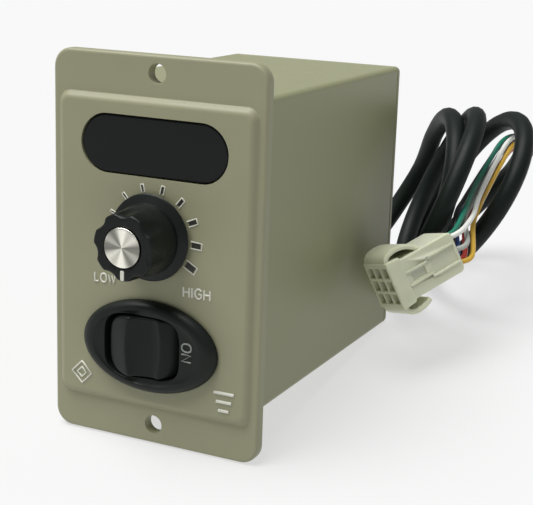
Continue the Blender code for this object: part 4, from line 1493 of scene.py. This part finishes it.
@dataclass
class Knob:
    """The scalloped knob with its skirt, bright cap and pointer line."""

    lobes: int = 7
    steps_per_lobe: int = 24
    front: float = 16.0
    scoop_radius: float = 4.0
    scoop_reach: float = 11.8
    scoop_slant: float = 0.12
    scoop_end: float = 10.0
    scoop_fade: float = 1.2
    edge_blend: float = 0.35
    socket: float = 15.3
    cap_radius: float = 5.15
    cap_front: float = 16.35
    drill_angle: float = 193.0
    drill_height: float = 10.8

    def frame(self) -> Matrix:
        """Return the frame on the knob's axis, level with the flange."""
        return FACE @ Matrix.Translation((0.0, KNOB_Y * MM, 0.0))

    def plain_ring(self, radius: float) -> Outline:
        """Draw a circle whose points match those of the grip.

        Args:
            radius: Its radius.

        Returns:
            Its points, from the pointer on.
        """
        count = self.lobes * self.steps_per_lobe
        angles = [math.radians(270.0) + math.tau * step / count for step in range(count)]
        return [(radius * math.cos(angle), radius * math.sin(angle)) for angle in angles]

    def grip_ring(self, base: float, height: float, inset: float = 0.0) -> Outline:
        """Draw the grip's outline at a height, hollowed between its lobes.

        Args:
            base: The radius before hollowing.
            height: The height above the flange.
            inset: How far the outline is drawn in.

        Returns:
            Its points.
        """
        reach = (self.scoop_reach + (self.front - height) * self.scoop_slant
                 + max(self.scoop_end - height, 0.0) * self.scoop_fade)
        points = []
        for x, y in self.plain_ring(1.0):
            turned = (math.atan2(y, x) - math.radians(270.0)) * self.lobes / math.tau
            offset = (turned % 1.0 - 0.5) * math.tau / self.lobes
            inside = self.scoop_radius ** 2 - (reach * math.sin(offset)) ** 2
            radius = base
            if inside > 0.0:
                hollow = reach * math.cos(offset) - math.sqrt(inside)
                near = max(self.edge_blend - abs(base - hollow), 0.0) / self.edge_blend
                radius = min(base, hollow) - near ** 2 * self.edge_blend / 4
            points.append((x * (radius - inset), y * (radius - inset)))
        return points

    def grip(self) -> None:
        """Build the knob's body."""
        inner = [(0.4, 13.5), (5.3, 13.5), (5.3, 7.6), (7.3, 7.6), (7.3, 2.9), (11.25, 2.9),
                 (11.45, 3.0), (11.5, 3.15), (11.45, 3.35), (11.2, 3.48), (9.8, 4.16),
                 (9.55, 4.3), (9.3, 4.4), (9.15, 4.5), (9.2, 4.64), (9.36, 4.8), (9.34, 5.6),
                 (9.22, 6.6), (9.08, 7.8), (8.95, 9.0)]
        levels = [(self.plain_ring(radius), height) for radius, height in inner]
        for step in range(1, 13):
            height = 9.0 + 6.1 * step / 12
            levels.append((self.grip_ring(8.95 - 0.018 * step, height), height))
        levels += [(self.grip_ring(8.72, self.front, inset), self.front - drop)
                   for inset, drop in rounding(0.75, 6)]
        levels += [(self.plain_ring(radius), height) for radius, height in
                   ((5.6, self.front), (5.45, self.front - 0.06), (5.4, self.front - 0.2),
                    (5.4, self.socket), (0.4, self.socket))]
        skin = Skin()
        skin.solid(levels)
        grip = skin.piece("scalloped_knob", self.frame())
        joined(grip, self.drill(), "DIFFERENCE")
        grip.data.set_sharp_from_angle(angle=SHARP_EDGE)
        hand_over(grip, BLACK, Body.KNOB, ("knob_body",))

    def drill(self) -> bpy.types.Object:
        """Make the rod that cuts the set screw's hole.

        Returns:
            The rod.
        """
        skin = Skin()
        skin.solid([(circle(1.8, count=24), height) for height in (6.0, 12.0)])
        across = (Matrix.Rotation(math.radians(self.drill_angle), 4, "Z")
                  @ Matrix.Rotation(math.radians(90.0), 4, "Y"))
        lifted = Matrix.Translation((0.0, 0.0, self.drill_height * MM)) @ across
        return skin.piece("drill", self.frame() @ lifted)

    def cap(self) -> None:
        """Build the spun disc in the middle, whose own frame lies on the axis."""
        skin = Skin()
        edge, front = self.cap_radius, self.cap_front
        profile = [(0.05, 15.6), (edge - 0.1, 15.6), (edge, 15.7), (edge, 16.12)]
        profile += [(edge - inset, front - drop) for inset, drop in rounding(0.2)]
        profile += [(radius, front) for radius in (4.4, 3.4, 2.4, 1.4, 0.6, 0.05)]
        skin.solid([(circle(radius, count=96), height) for radius, height in profile])
        hand_over(skin.piece("spun_knob_cap", self.frame(), self.frame()), ALUMINIUM,
                  Body.KNOB, ("knob_cap",))

    def pointer(self) -> None:
        """Build the white line that points at the scale."""
        skin = Skin()
        skin.solid([(rounded_rectangle(1.1 - 2 * inset, 2.6 - 2 * inset, 0.3, (0, -7.15), 4),
                     height) for inset, height in ((0.0, 15.4), (0.0, 16.04), (0.06, 16.1))])
        hand_over(skin.piece("pointer_line", self.frame()), PRINT, Body.KNOB,
                  ("knob_pointer",))

    def build(self) -> None:
        """Build the grip, the cap and the pointer."""
        self.grip()
        self.cap()
        self.pointer()


# ---------------------------------------------------------------- rocker switch

@dataclass
class RockerSwitch:
    """The oval bezel with its dished face, and the rocker with a ridge on each half."""

    centre_y: float = -23.9
    half_width: float = 20.2
    half_height: float = 12.55
    crest: float = 4.6
    crest_share: float = 0.81
    dish: float = 4.0
    seat: float = 1.9
    sleeve_back: float = -16.0
    clearance: float = 0.3
    rocker_x: float = -1.5
    rocker_radius: float = 11.0
    rocker_half_height: float = 8.2
    squareness: float = 4.0
    rest_tilt: float = 10.5
    pivot_z: float = -1.06
    word_x: float = 10.7
    word_y: float = -23.1

    def opening(self, grow: float) -> Outline:
        """Return the rocker's opening, grown all round."""
        wider = self.clearance + grow
        return oval(self.rocker_radius + wider, self.rocker_half_height + wider,
                    (self.rocker_x, self.centre_y), self.squareness)

    def sleeve(self, grow: float) -> Outline:
        """Return the outline of the sleeve behind the bezel, grown all round."""
        return oval(12.9 + grow, 9.9 + grow, (self.rocker_x, self.centre_y), 3.5)

    def dish_height(self, outward: float) -> float:
        """Return the dish's height, from 0 beside the opening out to 1 at the crest."""
        return self.dish + (self.crest - self.dish) * outward ** 1.6

    def bezel(self) -> None:
        """Build the bezel, its sleeve and the well that the rocker sits in."""
        skin = Skin()
        profile = ((0.985, self.seat), (1.0, 2.05), (1.0, 2.35), (0.992, 2.8), (0.975, 3.3),
                   (0.95, 3.8), (0.92, 4.2), (0.885, 4.45), (0.85, 4.57),
                   (self.crest_share, self.crest))
        levels = [(oval(self.half_width * share, self.half_height * share, (0, self.centre_y)),
                   height) for share, height in profile]
        crest, edge = levels[-1][0], self.opening(0.3)
        levels += [(blended(crest, edge, share), self.dish_height(1.0 - share))
                   for share in (0.08, 0.2, 0.35, 0.55, 0.75, 0.9, 1.0)]
        levels += [(self.opening(0.1), self.dish - 0.08), (self.opening(0.0), self.dish - 0.3),
                   (self.opening(0.0), self.sleeve_back)]
        rim, well = skin.stack(levels)
        top, bottom = skin.stack([(self.sleeve(0.0), self.seat),
                                  (self.sleeve(0.0), self.sleeve_back)])
        skin.fill(rim, top)
        skin.fill(bottom, well)
        hand_over(skin.piece("switch_bezel", FACE), SATIN_BLACK, stands_for=("switch_housing",))

    def surface(self, x: float, y: float) -> float:
        """Work out the rocker's height, with a saddle between two ridges.

        Args:
            x: How far across it the place is from its pivot.
            y: How far up it the place is.

        Returns:
            The height above its pivot.
        """
        reach = abs(x)
        ridge = 5.4 - 0.016 * y * y
        saddle = 5.1 + 1.2 * (reach / ridge) ** 3
        outside = max(reach - ridge, 0.0) / (self.rocker_radius - ridge)
        fall = 6.3 - 3.4 * outside ** 1.15
        near = max(0.3 - abs(saddle - fall), 0.0) / 0.3
        return min(saddle, fall) - near ** 2 * 0.3 / 4

    def rocker_ring(self, skin: Skin, share: float, level: float | None = None,
                    drop: float = 0.0) -> Ring:
        """Draw one ring of the rocker, a little narrower the further it is from the pivot.

        Args:
            skin: The mesh that it is drawn in.
            share: Its size as a share of the rocker's.
            level: Its height, where it isn't on the rocker's surface.
            drop: How far it lies below that surface.

        Returns:
            Its corners.
        """
        corners = []
        for x, y in oval(self.rocker_radius * share, self.rocker_half_height * share,
                         power=self.squareness, count=144):
            height = self.surface(x, y) - drop if level is None else level
            slim = 1.0 - 0.0173 * abs(height)
            corners.append(skin.data.verts.new((x * slim, y, height)))
        return corners

    def rocker(self) -> None:
        """Build the rocker from rings that shrink towards its middle."""
        skin = Skin()
        rings = [self.rocker_ring(skin, 1.0, level) for level in (-2.7, -1.0, 1.0)]
        edge = ((1.0, 0.9), (0.997, 0.5), (0.988, 0.25), (0.974, 0.1), (0.955, 0.02))
        rings += [self.rocker_ring(skin, share, drop=drop) for share, drop in edge]
        rings += [self.rocker_ring(skin, 0.955 * (1.0 - step / 26)) for step in range(1, 26)]
        for lower, upper in zip(rings, rings[1:]):
            skin.bridge(lower, upper)
        skin.cap(rings[0])
        skin.cap(rings[-1])
        tilt = Matrix.Rotation(math.radians(self.rest_tilt), 4, "Y")
        pivot = Vector((self.rocker_x, self.centre_y, self.pivot_z)) * MM
        hand_over(skin.piece("rocker_button", FACE @ Matrix.Translation(pivot) @ tilt),
                  BLACK, Body.ROCKER, ("rocker",))

    def word(self) -> None:
        """Build the word printed on the bezel's dish, which reads downwards."""
        paths, width = lettering("ON", 2.9, 0.65)
        inner, span = self.rocker_x + self.rocker_radius, 6.6
        placed = []
        for points, closed in paths:
            line = []
            for x, y in points:
                at_x = self.word_x + y
                lift = self.dish_height(max((at_x - inner) / span, 0.0)) + 0.02
                line.append((at_x, self.word_y + width / 2 - x, lift))
            placed.append((line, closed))
        hand_over(strokes("word_on", placed, 0.24), SWITCH_PRINT)

    def build(self) -> None:
        """Build the bezel, the rocker and the printed word."""
        self.bezel()
        self.rocker()
        self.word()


# ---------------------------------------------------------------- pieces kept from the frame

@dataclass
class InnerWorks:
    """The pieces whose shape comes from the frame, and the finish that each one gets."""

    finishes: tuple = (
        (BOARD, ("main_board", "display_board", "pot_wafer")),
        (STEEL, ("pot_washer", "pot_body", "pot_shaft", "knob_set_screw", "rocker_spring",
                 "cover_screw_1", "cover_screw_2", "cover_screw_3", "cover_screw_4")),
        (BRASS, ("pot_nut", "pot_bushing", "pot_wiper", "knob_insert", "contact_lever",
                 "switch_terminal_1", "switch_terminal_2", "contact_1", "contact_2",
                 "contact_3", "contact_4", "contact_5", "contact_6", "contact_7")),
        (BLACK, ("display_module", "triac", "control_chip", "capacitor_1", "capacitor_2",
                 "switch_base")),
        (SINK, ("heat_sink",)),
        (LAMINATIONS, ("transformer_core",)),
        (WINDING, ("transformer_coil",)),
        (FILM, ("film_capacitor",)),
        (GLASS, ("fuse",)),
        (NYLON, ("wire_header", "cable_tie", "rocker_plunger")),
    )

    def build(self) -> None:
        """Give every piece its finish."""
        for finish, names in self.finishes:
            for name in names:
                for slot in frame["nodes"][name].material_slots:
                    slot.material = material_of(finish)
            LOG.info("%s: %s", finish.name, ", ".join(names))


# ---------------------------------------------------------------- studio

@dataclass
class Studio:
    """A pale floor under a soft, nearly overhead light, and the camera."""

    camera_place: tuple = (0.16651, -0.31352, 0.17411)
    camera_turn: tuple = (68.873, 1.464, 25.887)
    lens: float = 88.06
    sensor: float = 36.0
    sky: float = 0.31
    sun_from: tuple = (-0.35, -0.15, 1.22)
    sun_strength: float = 4.0
    sun_width: float = 45.0
    floor_size: float = 8.0
    floor_shade: float = 0.22
    floor_glow: float = 0.61

    def camera(self) -> None:
        """Set up the camera."""
        lens = bpy.data.cameras.new("studio_camera")
        lens.sensor_width = self.sensor
        lens.lens = self.lens
        lens.clip_start = 0.01
        camera = set_down("studio_camera", lens)
        camera.location = self.camera_place
        camera.rotation_euler = [math.radians(angle) for angle in self.camera_turn]
        bpy.context.scene.camera = camera

    def floor(self) -> None:
        """Lay the floor."""
        mesh = bpy.data.meshes.new("studio_floor")
        data = bmesh.new()
        bmesh.ops.create_grid(data, size=self.floor_size / 2)
        data.to_mesh(mesh)
        data.free()
        floor = set_down("studio_floor", mesh)
        material = bpy.data.materials.new("studio_floor")
        material.use_nodes = True
        graph = NodeGraph(material)
        graph.feed(graph.shader, {"Base Color": (self.floor_shade,) * 3, "Roughness": 0.9,
                                  "Specular IOR Level": 0.0,
                                  "Emission Color": (1.0, 1.0, 1.0),
                                  "Emission Strength": self.floor_glow})
        mesh.materials.append(material)

    def lights(self) -> None:
        """Set up the sky and the main light."""
        world = bpy.data.worlds.new("studio_sky")
        world.use_nodes = True
        sky = world.node_tree.nodes["Background"]
        sky.inputs["Color"].default_value = (1.0, 1.0, 1.0, 1.0)
        sky.inputs["Strength"].default_value = self.sky
        bpy.context.scene.world = world
        lamp = bpy.data.lights.new("main_light", "SUN")
        lamp.energy = self.sun_strength
        lamp.angle = math.radians(self.sun_width)
        main = set_down("main_light", lamp)
        main.rotation_euler = Vector(self.sun_from).to_track_quat("Z", "Y").to_euler()

    def build(self) -> None:
        """Build the studio."""
        self.camera()
        self.floor()
        self.lights()
        bpy.context.scene.view_settings.view_transform = "Standard"


def main() -> None:
    """Build the controller, camera and cable first."""
    logging.basicConfig(level=logging.INFO, format="%(name)s %(message)s")
    Studio().build()
    connector = Connector()
    Cable().build(connector, connector.build())
    for part in (FrontPanel(), Case(), Display(), Knob(), RockerSwitch(), InnerWorks()):
        part.build()


if __name__ == "__main__":
    main()
